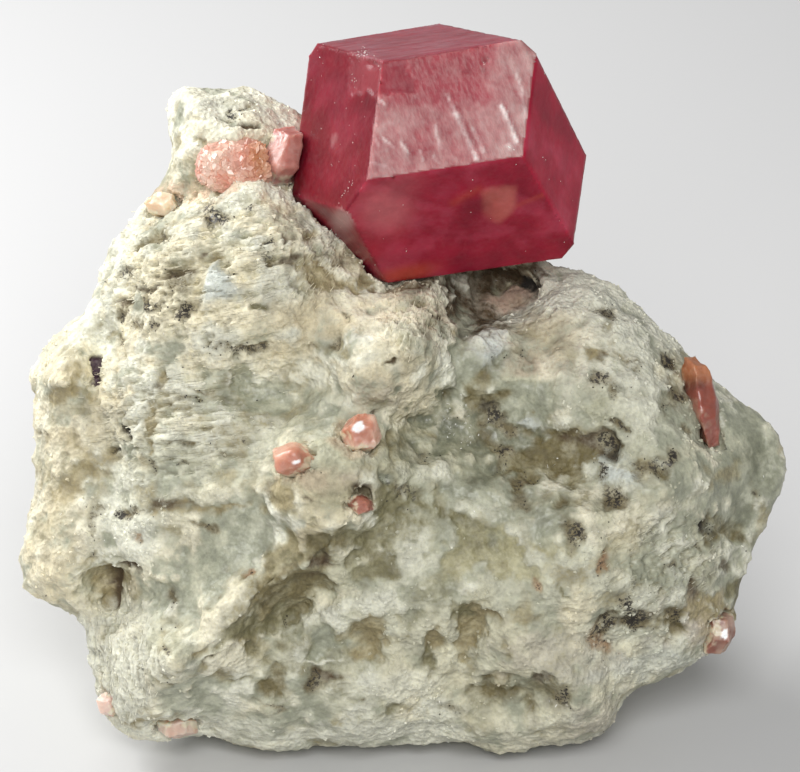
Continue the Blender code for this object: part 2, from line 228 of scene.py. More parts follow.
# What stands out on the photographed face, in the order it is laid on:
# x, z, half width, half height, turn, height, colour, how much of that colour.
# Most were read off the photo in pixels, at 0.06 mm to the pixel. The last rows even out tones.
marks = [
    (5.5, -14, 14.4, 8, 0, 0, "dusk", 0.6),  # broad washes
    (2.6, -5, 5.8, 5, 0, 0, "dusk", 0.7),
    (15, -2, 4.8, 5.4, 0, 0, "dusk", 0.4),
    (-5, -11.2, 4.4, 2.6, 30, 0, "dusk", 0.6),
    (-13.2, -5.2, 4.2, 2.4, 0, 0, "dusk", 0.5),
    (-5, -4.6, 4.2, 2, 0, 0, "dusk", 0.6),
    (13.6, -3.6, 3.6, 2.6, 0, 0, "dusk", 0.5),
    (-10.5, 5.2, 7.2, 4.5, 0, 0, "cream", 1),
    (-9.6, 13.6, 4.2, 2.7, 0, 0, "cream", 0.35),
    (-20.4, -5.6, 2.76, 5.7, 0, 0, "buff", 0.5),
    (-4.6, -6.2, 3.3, 1.68, 0, 0, "buff", 0.7),
    (-20.6, -11.4, 1.9, 1.6, 0, 0, "cream", 0.9),
    (-14.1, -14.6, 1.4, 1.6, 0, 0, "dusk", 0.7),
    (-5.1, 0.9, 1.6, 1.2, 0, 0.1, "white", 0.8),
    (-10.6, 16.6, 2.2, 0.9, 0, 0, "white", 0.9),
    (-7.2, 9.6, 1.6, 1.2, 0, 0, "cream", 0.9),
    (-7.4, 5.8, 1.8, 1.4, 0, 0, "white", 0.9),
    # painted light on the underside of the foot, which faces down
    (-5, -20.7, 9, 0.9, 0, 0, "white", 0.95),
    (-8.7, -2.9, 1.6, 1.2, 0, 0, "white", 0.9),
    (-10.5, 2.7, 1.8, 0.9, 0, 0, "white", 0.9),
    (-12.5, -1.1, 1.4, 1, 0, 0, "white", 0.8),
    (-5.1, -19.4, 1.6, 0.8, 0, 0, "white", 0.8),
    (-12.3, -15.5, 1.5, 1.2, 0, 0, "dusk", 0.8),
    # painted light on the right shoulder, where the big crystal casts its shadow
    (10.6, 5.4, 2.4, 1.5, -25, 0.1, "white", 0.95),
    (0, 3.4, 3.12, 2.28, 0, 0, "cream", 0.65),
    (-0.9, -0.2, 2.64, 2.16, 0, 0, "buff", 0.5),
    (12.4, 1.6, 4.8, 4, 0, 0, "white", 0.3),
    (6.5, 0.7, 3.2, 1.4, 0, 0, "dusk", 0.8),
    (12, -1.2, 2, 1, 0, 0, "dusk", 0.9),
    (3.9, 0.7, 1.2, 1.3, 0, -0.1, "glass", 0.8),
    (14.7, 0.7, 1, 1.2, 0, 0, "glass", 0.5),
    (4.2, -16.4, 7.8, 3.6, 0, 0, "cream", 0.25),
    (17.4, -10.4, 3.6, 3.6, -30, 0, "glass", 0.35),
    (-9, -20, 4.2, 1.44, 0, 0, "glass", 0.35),
    (15, 3.4, 2.16, 0.48, -38, 0, "glass", 0.2),
    (0.3, 5.9, 2.64, 0.18, 8, -0.25, "brown", 0.7),
    (1.5, 3.4, 0.54, 0.84, 0, -0.1, "grit", 0.35),  # the strip and the lump
    (2.5, 3.2, 0.15, 0.9, 0, -0.25, "grit", 0.5),
    (-3.3, 4.3, 0.42, 0.36, 0, -0.15, "grit", 0.55),
    (1.1, 4.9, 0.48, 0.24, 0, -0.1, "grit", 0.45),
    # painted highlight on the lump's top
    (-1.9, 1.7, 1.08, 0.48, 10, 0.15, "white", 0.5),
    (-0.5, 1.3, 0.36, 0.18, 5, -0.45, "brown", 0.9),
    (-1.7, -0.4, 0.18, 0.24, 0, -0.3, "brown", 0.6),
    (-1.6, -1.5, 0.36, 0.18, 0, -0.25, "brown", 0.7),
    (0, -0.8, 1.68, 0.72, -8, -0.1, "lilac", 0.5),
    # painted shade: the dark line under the lump's lower lip
    (0.7, -1.9, 1.44, 0.15, -2, -0.35, "dirtAndShade", 0.65),
    (-3, -0.7, 0.84, 0.84, 0, 0.1, "white", 0.4),
    (-0.3, -3.2, 1.44, 0.84, 0, -0.2, "dirtAndShade", 0.4),
    (-3.2, -16, 4.2, 2.6, 0, 0, "olive", 0.3),  # glassy ground showing low down
    (5.4, -18.4, 4, 1.6, 5, 0, "glass", 0.3),
    (1.6, -12.2, 2.4, 1.2, 20, 0, "olive", 0.35),
    (-5.6, -19.2, 3.4, 1, 4, 0, "glass", 0.4),
    (7, -6.4, 3.2, 1.8, 0, 0, "glass", 0.35),
    (16.8, -6.8, 2.4, 2.6, 0, 0, "glass", 0.3),
    (-0.6, -3.4, 0.18, 0.9, 0, -0.35, "dirtAndShade", 0.6),
    (1.5, -4.1, 0.72, 0.72, 0, -0.3, "grit", 0.45),
    (-6, 2.2, 1.56, 0.6, 0, -0.1, "buff", 0.4),
    (-13.2, 11.5, 3.12, 0.66, 6, 0, "pink", 0.55),  # pink band under the spur
    (-12.2, 14.6, 0.42, 0.48, 0, -0.35, "tan", 0.6),  # spur pit
    (-9.2, 15.3, 0.9, 0.18, 4, -0.5, "brown", 0.8),  # slit under the spur
    (-5.4, 4, 1.92, 1.44, -10, -0.1, "buff", 0.6),  # soft buff patch
    (-3.8, 6.4, 1.8, 0.7, -20, -0.15, "tan", 0.8),  # brownish rock beside the crystal, with painted contact shade along the crystal's edge here and in the next row
    (-3.3, 7.1, 0.72, 0.36, -25, -0.2, "brown", 0.4),
    (-14.6, 8.8, 1.02, 0.36, 26, -0.9, "dirtAndShade", 0.95),  # lens cavities in the bladed part
    (-14.1, 9, 0.48, 0.3, 10, -0.3, "grit", 0.6),
    (-13.3, 6.6, 1.44, 0.21, 8, -0.45, "brown", 0.75),
    (-12.8, 6.9, 0.96, 0.15, 6, -0.3, "grit", 0.7),
    (-16.3, 6.8, 0.54, 0.27, 0, -0.35, "brown", 0.55),
    (-14.7, 5.8, 0.96, 0.19, 8, -0.6, "brown", 0.8),
    (-16.4, 5, 0.54, 0.17, -8, -0.35, "brown", 0.7),
    (-16.8, 4.2, 0.3, 0.3, 0, -0.3, "grit", 0.8),
    (-13.1, 5.8, 1.08, 0.48, 5, -0.1, "grit", 0.45),
    (-12.8, 4.6, 0.9, 0.6, 20, -0.1, "grit", 0.4),
    (-15, 4.8, 0.18, 0.36, 0, -0.3, "grit", 0.8),
    (-15.5, 3.7, 0.54, 0.3, 30, -0.35, "grit", 0.65),
    (-16.5, 2.8, 0.18, 0.42, 0, -0.3, "grit", 0.6),
    (-10.7, 7.4, 0.9, 0.3, 0, -0.1, "tan", 0.6),
    (-11.5, 7.7, 0.48, 0.24, 20, -0.25, "brown", 0.5),
    (-10.8, 6.1, 1.08, 1.26, -4, 0.25, "bluish", 0.9),  # cleavage patch
    # painted shade down the right edge of the cleavage patch
    (-10, 6.4, 0.21, 0.96, 0, -0.15, "grit", 0.35),
    (-10.9, 9.4, 0.21, 0.66, 15, -0.25, "glass", 0.6),
    (-6.5, 7.4, 0.72, 0.19, 18, -0.6, "brown", 0.75),  # slits by the crystal
    (-6.6, 8.6, 0.48, 0.3, 25, -0.4, "brown", 0.6),
    (-5.4, 8.8, 0.21, 0.72, -35, -0.35, "tan", 0.6),
    (-8.4, 4.6, 0.66, 0.27, 8, -0.55, "olive", 0.8),
    (-9, 2.1, 1.26, 0.36, -4, -0.6, "grit", 0.85),  # dark hollow over the basin
    (-7.7, -0.7, 2.76, 1.02, 0, -0.15, "glass", 0.6),  # basin
    (-9.1, 0.1, 0.9, 1.2, 0, -0.35, "glass", 0.75),
    (-7.4, 0.7, 0.6, 0.36, -10, 0.15, "white", 0.6),
    (-4.2, 2.3, 0.42, 0.42, 30, -0.3, "grit", 0.6),
    (-5.2, 2.2, 0.3, 0.15, 0, -0.2, "grit", 0.6),
    (-11.1, 0.6, 0.84, 0.3, -10, -0.15, "glass", 0.5),
    (-11.7, -0.3, 0.96, 0.12, -10, -0.2, "grit", 0.5),
    (-13.9, 0.5, 0.48, 0.36, 0, -0.25, "tan", 0.6),
    (-14.4, -0.2, 0.54, 0.3, 0, -0.2, "brown", 0.35),
    (-12.2, -0.8, 1.56, 0.1, 3, -0.15, "grit", 0.4),
    (-13.2, -2.3, 1.44, 0.6, 0, 0.25, "cream", 0.5),  # pale step
    (-12.9, -3.4, 1.56, 0.15, 4, -0.3, "grit", 0.55),
    (-10.5, -3.7, 0.84, 0.12, -22, -0.25, "grit", 0.5),
    (-16, -2.7, 0.21, 0.39, 35, -0.5, "black", 0.95),
    (-16.9, -3.7, 0.36, 0.24, -35, -0.4, "black", 0.8),
    (-14.8, -2.6, 0.18, 2.04, 2, -0.3, "tan", 0.55),  # seam down the left
    (-14.6, -4.8, 0.3, 0.42, 0, -0.3, "grit", 0.6),
    (-12.8, -4.5, 0.36, 0.15, 5, -0.2, "grit", 0.8),
    (-13.4, -5.6, 0.96, 1.08, 0, -0.1, "glass", 0.65),
    (-10.2, -5.3, 0.66, 0.48, 0, -0.1, "tan", 0.4),
    (-11.1, -7.1, 3.6, 0.3, 2, -0.35, "tan", 0.55),  # painted shadow under the ledge, in tan here and in brown in the next row
    (-13.7, -6.8, 1.08, 0.3, 0, -0.2, "brown", 0.45),
    (-9.6, -6.2, 3, 0.42, 2, 0.25, "cream", 0.35),  # the ledge
    (-7.5, -6.2, 0.96, 0.48, -20, -0.3, "brown", 0.5),
    (-9.6, -9.2, 3.12, 1.8, 25, 0.05, "glass", 0.85),  # slab
    (-11.7, -11, 1.68, 1.92, 0, 0.05, "glass", 0.8),
    (-12, -8.2, 0.84, 0.21, -12, -0.2, "grit", 0.6),
    (-20.4, 1.3, 1.8, 1.44, 0, 0, "cream", 0.7),  # knob
    (-20.3, -0.7, 1.68, 0.36, 4, -0.2, "tan", 0.6),
    (-19.4, 0.8, 0.36, 0.96, 10, -0.1, "tan", 0.5),
    (-18.1, 1.3, 0.21, 1.2, -3, -0.9, "plum", 0.95),
    (-17.5, -0.5, 0.3, 1.32, -6, 0.3, "cream", 0.7),
    (-21.3, -2.8, 0.18, 0.21, 0, -0.25, "brown", 0.7),
    (-18.6, -4.7, 1.8, 1.32, 20, -0.1, "tan", 0.5),  # soft tan on the left flank
    (-20, -6.5, 0.96, 1.32, 0, -0.1, "tan", 0.55),
    (-18, -2.6, 2.4, 3, 0, 0, "buff", 0.45),
    (-20.4, -9.2, 1.8, 3, 0, 0, "buff", 0.4),
    (-16.2, -8.6, 2.16, 1.8, 0, 0.1, "white", 0.7),
    (-18.3, -8, 0.21, 0.72, 0, -0.3, "grit", 0.6),
    (-17.8, -7.3, 0.3, 0.36, 0, -0.2, "grit", 0.5),
    (-15.6, -7.3, 0.6, 0.24, 5, -0.15, "grit", 0.65),
    (-17.2, -9, 0.54, 0.54, 0, -0.15, "glass", 0.7),
    (-15.3, -8.9, 0.36, 0.3, 0, -0.1, "rust", 0.45),
    (-18.2, -10, 0.18, 0.72, 0, -0.2, "grit", 0.45),
    (-17.5, -11.8, 1.2, 1.2, 0, -0.3, "tan", 0.9),  # tan cavity on the left
    (-16.1, -10.7, 0.84, 0.3, -5, -0.4, "brown", 0.75),
    (-16.9, -12, 0.36, 1.02, -4, -0.3, "brown", 0.85),
    # painted shade on the left side of the tan cavity
    (-18.6, -12.1, 0.6, 0.72, 0, -0.2, "glass", 0.4),
    (-15.8, -11.9, 0.42, 0.9, -10, 0.35, "buff", 0.6),
    (-14.4, -12.4, 1.08, 1.26, -15, -0.5, "glass", 0.95),  # glassy pocket
    (-13.4, -12.8, 0.21, 0.78, 10, -0.2, "grit", 0.5),
    (-15.9, -14.3, 0.84, 0.6, 40, 0.1, "cream", 0.6),
    (-15, -19.8, 2.04, 0.54, 2, -0.1, "tan", 0.55),
    (-12.2, -18.2, 2.16, 1.32, 10, -0.15, "glass", 0.75),  # grey foot
    (-16.4, -16.8, 2.2, 3.4, 0, 0.1, "white", 0.9),
    (-13.7, -15.7, 0.3, 0.18, 0, -0.15, "grit", 0.8),
    (-13.5, -17.5, 0.36, 0.18, -25, -0.2, "grit", 0.8),
    (-10.6, -13.7, 3.8, 0.8, 52, 0.4, "cream", 0.6),  # the rib
    (-6.4, -9.4, 2.3, 0.6, 35, 0.3, "buff", 0.8),
    (-6.8, -10.4, 1.4, 0.8, 40, -0.2, "tan", 0.95),
    (-8, -13.9, 2.4, 0.6, 42, -0.2, "tan", 0.8),  # under the rib: its own tan, darkened as painted shade on the rib's lower side
    (-8.8, -10.9, 0.24, 0.24, 0, -0.1, "rust", 0.8),
    (-6.6, -14, 0.18, 0.18, 0, -0.35, "black", 0.95),
    (-6.2, -12, 3.2, 1.6, 33, -0.55, "dirtAndShade", 0.9),  # hollow by the rib, its dark colour partly painted shadow beneath the rib
    (-4.9, -10.6, 1.2, 0.42, -5, -0.35, "brown", 0.85),
    (-8.7, -14.3, 2.04, 0.72, 15, -0.2, "olive", 0.7),
    (-11.7, -15.8, 0.84, 0.36, 35, -0.15, "tan", 0.6),
    (-11, -16.2, 0.54, 0.15, 28, -0.2, "grit", 0.7),
    (-7.4, -17.8, 0.84, 0.84, 0, -0.6, "dirtAndShade", 0.85),  # small cavity
    (-9.1, -17.4, 0.84, 0.24, 5, -0.2, "olive", 0.55),
    (-10.5, -16.9, 0.96, 0.54, 0, -0.1, "tan", 0.35),
    (-7.5, -19, 0.96, 0.1, -10, -0.2, "grit", 0.5),
    (-2.5, -3.2, 1.1, 0.8, 0, 0, "pink", 0.6),  # stained round the garnets
    (-5.7, -5, 1.4, 0.9, 0, 0, "pink", 0.6),
    (-3.4, -5.3, 1.5, 0.7, 0, 0, "rosy", 0.4),
    (-4.6, -4.4, 2.8, 2.4, 0, 0, "dusk", 0.6),
    (-1.5, -10.1, 1.2, 0.9, 0, 0, "olive", 0.6),
    (-2.1, -6.1, 0.54, 0.72, 0, -0.7, "brown", 0.85),  # recesses of the shelf
    (0.3, -6.2, 0.72, 0.66, 0, -0.6, "grit", 0.75),
    (-0.6, -7, 0.84, 0.3, 20, -0.4, "brown", 0.5),
    (-5.4, -6.5, 0.6, 0.3, 20, -0.3, "brown", 0.5),
    (-4.2, -9.2, 2.76, 0.78, 5, -0.2, "dirtAndShade", 0.45),  # painted shadow under the shelf
    (-1.9, -9.5, 1.56, 0.72, 30, -0.2, "olive", 0.55),
    (-3.3, -7.7, 1.56, 0.48, 4, 0.2, "cream", 0.6),
    (0, -8, 2.8, 1.9, 0, -0.1, "olive", 0.6),
    (0.7, -9.7, 1.4, 1.8, -10, 0.4, "white", 0.55),  # white mass
    (0.1, -9.2, 0.12, 0.54, 30, -0.2, "glass", 0.5),
    (0.7, -9, 0.12, 0.48, 35, -0.2, "glass", 0.5),
    (2.4, -6.8, 0.96, 0.6, -35, -0.3, "olive", 0.7),
    (4, -8, 0.48, 1.68, 52, -0.3, "olive", 0.75),
    (4.7, -6.7, 0.54, 1.62, 42, 0.25, "white", 0.7),
    (3, -10.1, 0.84, 2.4, 25, -0.1, "glass", 0.5),
    (5.4, -9.8, 2.88, 1.32, 4, -0.25, "sand", 0.8),  # sandy hollow
    (4.5, -9.2, 0.72, 0.6, 0, -0.1, "olive", 0.4),
    (8.4, -8.3, 1.56, 0.84, 0, -0.1, "glass", 0.5),
    (10.4, -8.5, 0.84, 0.9, 0, -0.15, "dirtAndShade", 0.5),
    (4.2, -11.9, 0.66, 0.6, 0, 0.25, "white", 0.8),
    (-1.2, -12.7, 2.16, 0.66, 4, 0.35, "white", 0.8),
    (-4.1, -13.2, 0.96, 0.48, 0, 0.25, "white", 0.7),
    (-1.3, -11, 1.92, 0.54, 0, -0.25, "olive", 0.6),
    (-2, -15, 1.2, 1.32, -10, -0.65, "tan", 0.9),  # tan cavity in the middle
    (-4.5, -15.1, 1.08, 1.08, 0, -0.35, "glass", 0.75),
    (-4.7, -16.3, 1.44, 0.11, -3, 0.25, "white", 0.8),
    (-4.5, -17.2, 0.96, 0.54, 0, -0.45, "brown", 0.55),
    (-5.3, -17.8, 0.48, 0.3, -30, -0.2, "grit", 0.5),
    (4.2, -14.5, 0.9, 1.8, -22, -0.7, "tan", 0.95),  # tan hollow
    (3.4, -13.3, 0.72, 0.48, -30, -0.3, "olive", 0.6),
    (2.2, -15.2, 0.72, 0.54, -10, -0.65, "tan", 0.85),
    (1.8, -16.6, 0.6, 0.54, 0, -0.45, "olive", 0.75),
    (0, -17.8, 2.28, 1.08, 0, 0.15, "white", 0.6),
    (-0.3, -19.2, 0.54, 0.24, 32, -0.45, "olive", 0.75),
    (3, -19.3, 0.66, 0.42, -15, -0.3, "grit", 0.45),
    (5.7, -18.2, 1.26, 0.84, 0, -0.6, "dirtAndShade", 0.6),  # foot hollows
    (5.8, -17.7, 0.36, 0.3, 0, 0.3, "buff", 0.5),
    (8.7, -18.2, 1.32, 0.78, -10, -0.4, "dirtAndShade", 0.4),
    (8.1, -17.3, 0.6, 0.36, -20, -0.3, "brown", 0.45),
    (9.6, -15.8, 4.2, 1.8, 0, 0, "lilac", 0.5),
    (10.5, -13, 1.02, 1.68, 0, 0.15, "cream", 0.75),  # cream boss
    (7.2, -13.6, 1.56, 0.66, 5, -0.1, "tan", 0.4),
    (8.1, -11.8, 0.3, 0.3, -30, -0.15, "rust", 0.7),
    (9.4, -12.2, 0.12, 0.66, 40, -0.25, "olive", 0.6),
    (6.3, -15.2, 0.48, 0.48, 0, -0.2, "tan", 0.45),
    (11.4, -20.2, 2.04, 1.32, 10, 0, "lilac", 0.6),  # smooth lobe of the foot
    (4.8, 4.8, 1.56, 2, 20, -0.5, "brown", 0.95),  # brown rock under the crystal, its own brown deepened with painted shadow under the crystal, as are the other brown rows here
    (6, 6.6, 2.64, 0.72, 10, 0.2, "brown", 0.9),
    (6.6, 5.4, 1.6, 0.72, 15, 0.5, "rosy", 0.85),
    (7.7, 6.2, 0.36, 0.4, 0, -0.6, "black", 0.95),
    (4, 4.6, 1.1, 1.1, 0, -0.3, "brown", 0.95),
    (3.7, 2.5, 0.54, 1.92, -12, -0.5, "glass", 0.95),  # grey channel, its grey partly painted shadow cast by the strip's edge to its left
    (5.4, 2.3, 1.02, 1.26, -10, 0.45, "bluish", 0.85),  # pale bump
    (8.7, 2.8, 1.92, 1.68, 0, 0, "buff", 0.5),
    (7.5, 1, 1.68, 0.72, 5, -0.1, "rosy", 0.35),
    (6.6, 2, 0.84, 0.3, 15, -0.15, "grit", 0.45),
    (11.5, 2, 0.84, 0.48, -14, 0.2, "tan", 0.75),
    (12.2, 1.7, 0.24, 0.36, -10, -0.1, "brown", 0.35),
    (1, -0.9, 1.4, 0.9, 0, 0.15, "cream", 0.8),
    (3.4, -2.8, 2.2, 1.8, 0, -0.2, "slate", 0.9),  # the valley
    (6, -2.9, 3.6, 2.2, -10, -0.1, "slate", 0.8),
    (7.2, -0.8, 2.4, 1.8, 0, -0.15, "glass", 0.85),
    (5, -6.2, 3.2, 1.2, -15, -0.1, "glass", 0.7),
    (4.8, -0.8, 1.08, 1.02, 0, -0.1, "dirtAndShade", 0.85),
    (5.4, -1.6, 0.48, 0.54, 0, -0.3, "black", 0.55),
    (6.5, -2.8, 0.84, 0.42, -15, -0.2, "grit", 0.7),
    (6.2, -4.1, 0.54, 1.08, 0, -0.15, "grit", 0.5),
    (7.2, -5.5, 0.72, 0.36, 0, -0.35, "grit", 0.8),
    (7.2, -6.8, 0.6, 0.36, 0, -0.1, "grit", 0.4),
    (9.7, -4.1, 3, 1.32, -3, -0.2, "dirtAndShade", 0.85),
    (11.5, -3.2, 1.2, 0.78, -8, -0.4, "brown", 0.85),
    (12.4, -3.4, 0.3, 0.72, 0, -0.3, "black", 0.5),
    (4.2, -4.7, 1.32, 0.84, -20, -0.1, "slate", 0.7),
    (7.6, -2.3, 0.84, 0.33, -8, 0.35, "bluish", 0.8),
    (9.8, -0.5, 0.66, 1.32, 15, 0.3, "white", 0.45),
    (2, -5, 0.84, 0.72, 30, 0.3, "white", 0.8),
    (12.6, -5.1, 1.38, 0.84, -20, 0.5, "bluish", 0.85),  # white tongue
    (14.5, -0.8, 2.4, 2.76, 0, 0.1, "white", 0.5),
    (15.6, 1.7, 1.56, 0.6, -38, -0.15, "glass", 0.4),
    (15.9, -3.4, 1.32, 0.72, 0, -0.1, "glass", 0.4),
    (12.7, -2.3, 0.96, 0.27, -28, -0.45, "grit", 0.85),  # speckled pits of the right side
    (14.7, -4.9, 1.08, 0.54, -6, -0.5, "grit", 0.8),
    (15.1, -5.2, 0.84, 0.36, 0, -0.2, "dirtAndShade", 0.5),
    (12.7, -6.6, 1.08, 0.6, -35, -0.4, "grit", 0.8),
    (12.3, 4.4, 0.84, 0.54, 0, -0.15, "grit", 0.45),
    (13.7, 1.4, 0.66, 0.54, 0, -0.15, "grit", 0.45),
    (12.7, -0.2, 0.54, 0.48, 0, -0.2, "grit", 0.6),
    (16.4, -1.4, 1.2, 1.4, 0, 0, "glass", 0.6),
    (16.3, 1.1, 0.36, 0.84, 0, -0.15, "grit", 0.4),
    (16, -0.7, 0.48, 0.96, -15, -0.15, "grit", 0.45),
    (17, -2.5, 0.6, 0.3, -18, -0.15, "grit", 0.5),
    (20.4, -4.6, 3.12, 4.44, 0, 0, "glass", 0.8),  # grey block
    (21.6, -4.3, 1.08, 1.08, 0, 0, "slate", 0.4),
    (19.3, -5.2, 0.96, 0.6, 0, 0, "tan", 0.35),
    (18.7, -3.7, 0.54, 0.36, 20, 0.15, "white", 0.6),
    (19.3, -8.6, 1.32, 0.54, -16, -0.35, "dirtAndShade", 0.9),  # brown patch
    (18.2, -8.3, 0.36, 0.36, 0, -0.2, "black", 0.5),
    (20.7, -7.6, 1.32, 0.96, 0, 0, "slate", 0.35),
    (16.2, -9.4, 1.68, 0.42, 16, 0.3, "white", 0.6),
    (15.3, -7.6, 1.2, 0.66, 10, 0.25, "white", 0.6),
    (18, -10.2, 0.96, 0.3, 10, 0.2, "white", 0.6),
    (14.4, -10.8, 1.92, 0.84, -8, -0.1, "glass", 0.65),
    (11.8, -10.6, 0.36, 0.9, -18, -0.25, "rust", 0.65),
    (13.5, -14, 1.68, 0.48, -4, -0.2, "grit", 0.7),
    (12.1, -15.4, 0.54, 1.02, 48, -0.25, "rust", 0.6),
    (14.4, -12.8, 1.2, 0.72, 10, 0.15, "white", 0.5),
    (18, -14, 2.04, 1.56, 0, -0.1, "rosy", 0.4),
    (18.2, -13.5, 1.4, 1.1, 0, -0.1, "tan", 0.75),
    (16.4, -14, 0.66, 0.96, 0, -0.4, "dirtAndShade", 0.85),
    (20.2, -12.4, 0.48, 0.9, 0, -0.15, "olive", 0.7),
    (19.3, -10.8, 0.54, 0.54, 0, -0.15, "brown", 0.45),
    (17.4, -12, 0.36, 0.66, 20, -0.15, "brown", 0.5),
    (15, -16.6, 3.24, 0.96, 12, 0.1, "bluish", 0.4),
    (-10.5, -20.6, 3, 0.9, 0, 0, "white", 0.9),  # last touches; this row and the next two are painted light on the foot's underside, which faces down
    (0.3, -20.8, 3, 0.8, 0, 0, "white", 0.9),
    (1.8, -19.4, 1.8, 0.7, 0, 0, "white", 0.9),
    (15, 3.6, 2, 1, -38, 0, "white", 0.9),
    # painted light on the right shoulder, where the big crystal casts its shadow
    (9.3, 6.1, 1.4, 0.8, -30, 0, "white", 0.8),
    (-6.9, -6.5, 0.9, 0.7, 0, 0, "tan", 0.6),
    (-15.9, 2.5, 0.9, 0.9, 0, 0, "buff", 0.5),
    (-6.9, -10.1, 1, 0.7, 20, 0, "olive", 0.4),
]

# Loose clusters of dark specks besides those of the gritty marks: place, radius.
speckClusters = [
    ((-10.7, 10.1), 0.5), ((-11.6, 10.6), 0.3), ((-8.8, 10.6), 0.2), ((-7.7, 8.2), 0.4), ((-10.1, 16.1), 0.4),
    ((-9.4, 16.4), 0.2), ((11.7, 0.5), 0.4), ((13.5, -13.0), 0.5), ((17.7, -9.5), 0.12), ((15.9, -10.6), 0.3),
    ((21.3, -6.7), 0.2), ((10.5, -8.6), 0.6), ((-3.3, 4.3), 0.3), ((-16.6, -7.9), 0.3), ((-9.3, -3.1), 0.15),
    ((12.0, -5.0), 0.3), ((16.0, -4.0), 0.3), ((9.6, -18.4), 0.3), ((-5.1, -17.4), 0.3), ((-15.0, 4.5), 0.5),
    ((-12.8, 4.4), 0.5), ((-16.5, 6.6), 0.4), ((-2.4, -18.6), 0.12), ((13.8, -14.0), 0.6),
    ((-14.4, 3.6), 0.3), ((12.4, 4.3), 0.35), ((16.1, 1.3), 0.4), ((16.6, -0.7), 0.35), ((14.8, -5.2), 0.3),
    ((12.0, -3.3), 0.35), ((12.8, -6.8), 0.4), ((12.3, -14.2), 0.45), ((16.4, -13.7), 0.4),
    ((5.5, -1.9), 0.45), ((6.3, -3.8), 0.3),
]

# Sparkling cleavage of the valley and a few flakes elsewhere: place, radii.
glintPatches = [
    ((3.7, -2.2), (1.2, 1.4)), ((9.0, -4.5), (0.9, 0.3)), ((4.4, -6.9), (0.7, 0.6), -45),
    ((8.1, -9.9), (0.3, 0.7)), ((11.0, -8.7), (0.9, 0.7)), ((2.0, -18.2), (0.8, 0.6)),
    ((7.5, -6.1), (0.2, 0.2)), ((-10.6, -11.6), (0.6, 0.4)), ((-9.0, 12.2), (2.0, 1.2)),
    ((-10.4, -4.6), (0.8, 0.3)), ((8.9, -19.4), (0.5, 0.4)), ((4.0, -11.8), (0.5, 0.4)),
]

# Colours of the rock, then how glassy each one is.
palette = {
    "white": ("#e9e8d5", 0.0),
    "dusk": ("#b5b498", 0.1),
    "cream": ("#f0e7c8", 0.0),
    "buff": ("#c8b994", 0.0),
    "bluish": ("#d6dcd5", 0.1),
    "lilac": ("#bcb4a6", 0.15),
    "glass": ("#a6a892", 0.9),
    "slate": ("#7e806a", 1.0),
    "sand": ("#aca680", 0.6),
    "olive": ("#807a56", 0.6),
    "tan": ("#a3966f", 0.3),
    # the brown laid in the hollows, partly the rock's own colour and partly painted shade in them
    "dirtAndShade": ("#7a6f48", 0.3),
    "brown": ("#58462b", 0.1),
    "grit": ("#7a6f50", 0.1),
    "rust": ("#a98a68", 0.0),
    "rosy": ("#ae8b79", 0.2),
    "pink": ("#dcac94", 0.1),
    "plum": ("#54394a", 0.2),
    "black": ("#2c261f", 0.0),
}
palette = {kind: (linear(tone), glassy) for kind, (tone, glassy) in palette.items()}
# the rest lie under the skin
skinKinds = ("white", "dusk", "cream", "buff", "bluish", "lilac", "rosy", "pink")


def rockMesh():
    piece = weldedCopy("matrix", "matrixRock")
    remesh = piece.modifiers.new("even cells", "REMESH")
    remesh.mode = "VOXEL"
    remesh.voxel_size = rock["cell"] * mm
    soften = piece.modifiers.new("soften", "SMOOTH")
    soften.factor = 0.5
    soften.iterations = rock["softening"]
    applied(piece)
    facing = readNormals(piece.data) @ leanBack @ np.array([0.0, -1.0, 0.0])
    hidden = piece.vertex_groups.new(name="hidden")
    for level in range(1, 5):  # four steps of weight, so that the cells grow slowly towards the back
        hidden.add(np.nonzero(facing < -0.05 - 0.06 * level)[0].tolist(), level / 4, "REPLACE")
    thin = piece.modifiers.new("fewer faces behind", "DECIMATE")
    thin.vertex_group = "hidden"
    thin.ratio = rock["hiddenShare"]
    thin.use_collapse_triangulate = True
    applied(piece)
    piece.vertex_groups.clear()
    return piece


def strandRelief(points, front):
    x, z = points[:, 0], points[:, 2]
    height, share = np.zeros(len(points)), np.zeros(len(points))
    runs = np.array(points) / rock["fibre"][0]
    along = np.tile([math.cos(math.radians(12)), 0.0, math.sin(math.radians(12))], (len(points), 1))
    for place, radii, turn, way in strandZones:
        mask = patch(x, z, place, radii, turn, 2.0) * front
        near = mask > 0.02
        c, s = math.cos(math.radians(way)), math.sin(math.radians(way))
        turned = points[near] @ np.array([[c, -s, 0], [0, 0, 1], [s, c, 0]])
        run = turned / np.array([rock["strandLength"], rock["strandWidth"], rock["strandWidth"] * 1.6])
        fineRun = turned / np.array([rock["fibre"][0], rock["fibre"][1], rock["fibre"][1] * 2.0])
        grain = cloud(run, 1.0, 3, 4.2)
        stronger = mask[near] > share[near]
        height[near] = np.where(stronger, grain, height[near])
        along[near] = np.where(stronger[:, None], [c, 0, s], along[near])
        runs[near] = np.where(stronger[:, None], fineRun, runs[near])
        share[near] = np.maximum(share[near], mask[near])
    return height, share, along, runs


def nearCrystals(framePoints):
    # how close each point is to a crystal set in the rock, from 0 to 1
    form = bmesh.new()
    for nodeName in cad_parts:
        if nodeName != "matrix":
            form.from_mesh(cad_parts[nodeName].data)
    tree = BVHTree.FromBMesh(form)
    form.free()
    reach = rock["collar"][0] * mm * 2.5
    near = np.zeros(len(framePoints))
    for i, place in enumerate(framePoints.tolist()):
        distance = tree.find_nearest(place, reach)[3]
        if distance is not None:
            near[i] = math.exp(-((distance / mm / rock["collar"][0]) ** 2))
    return near


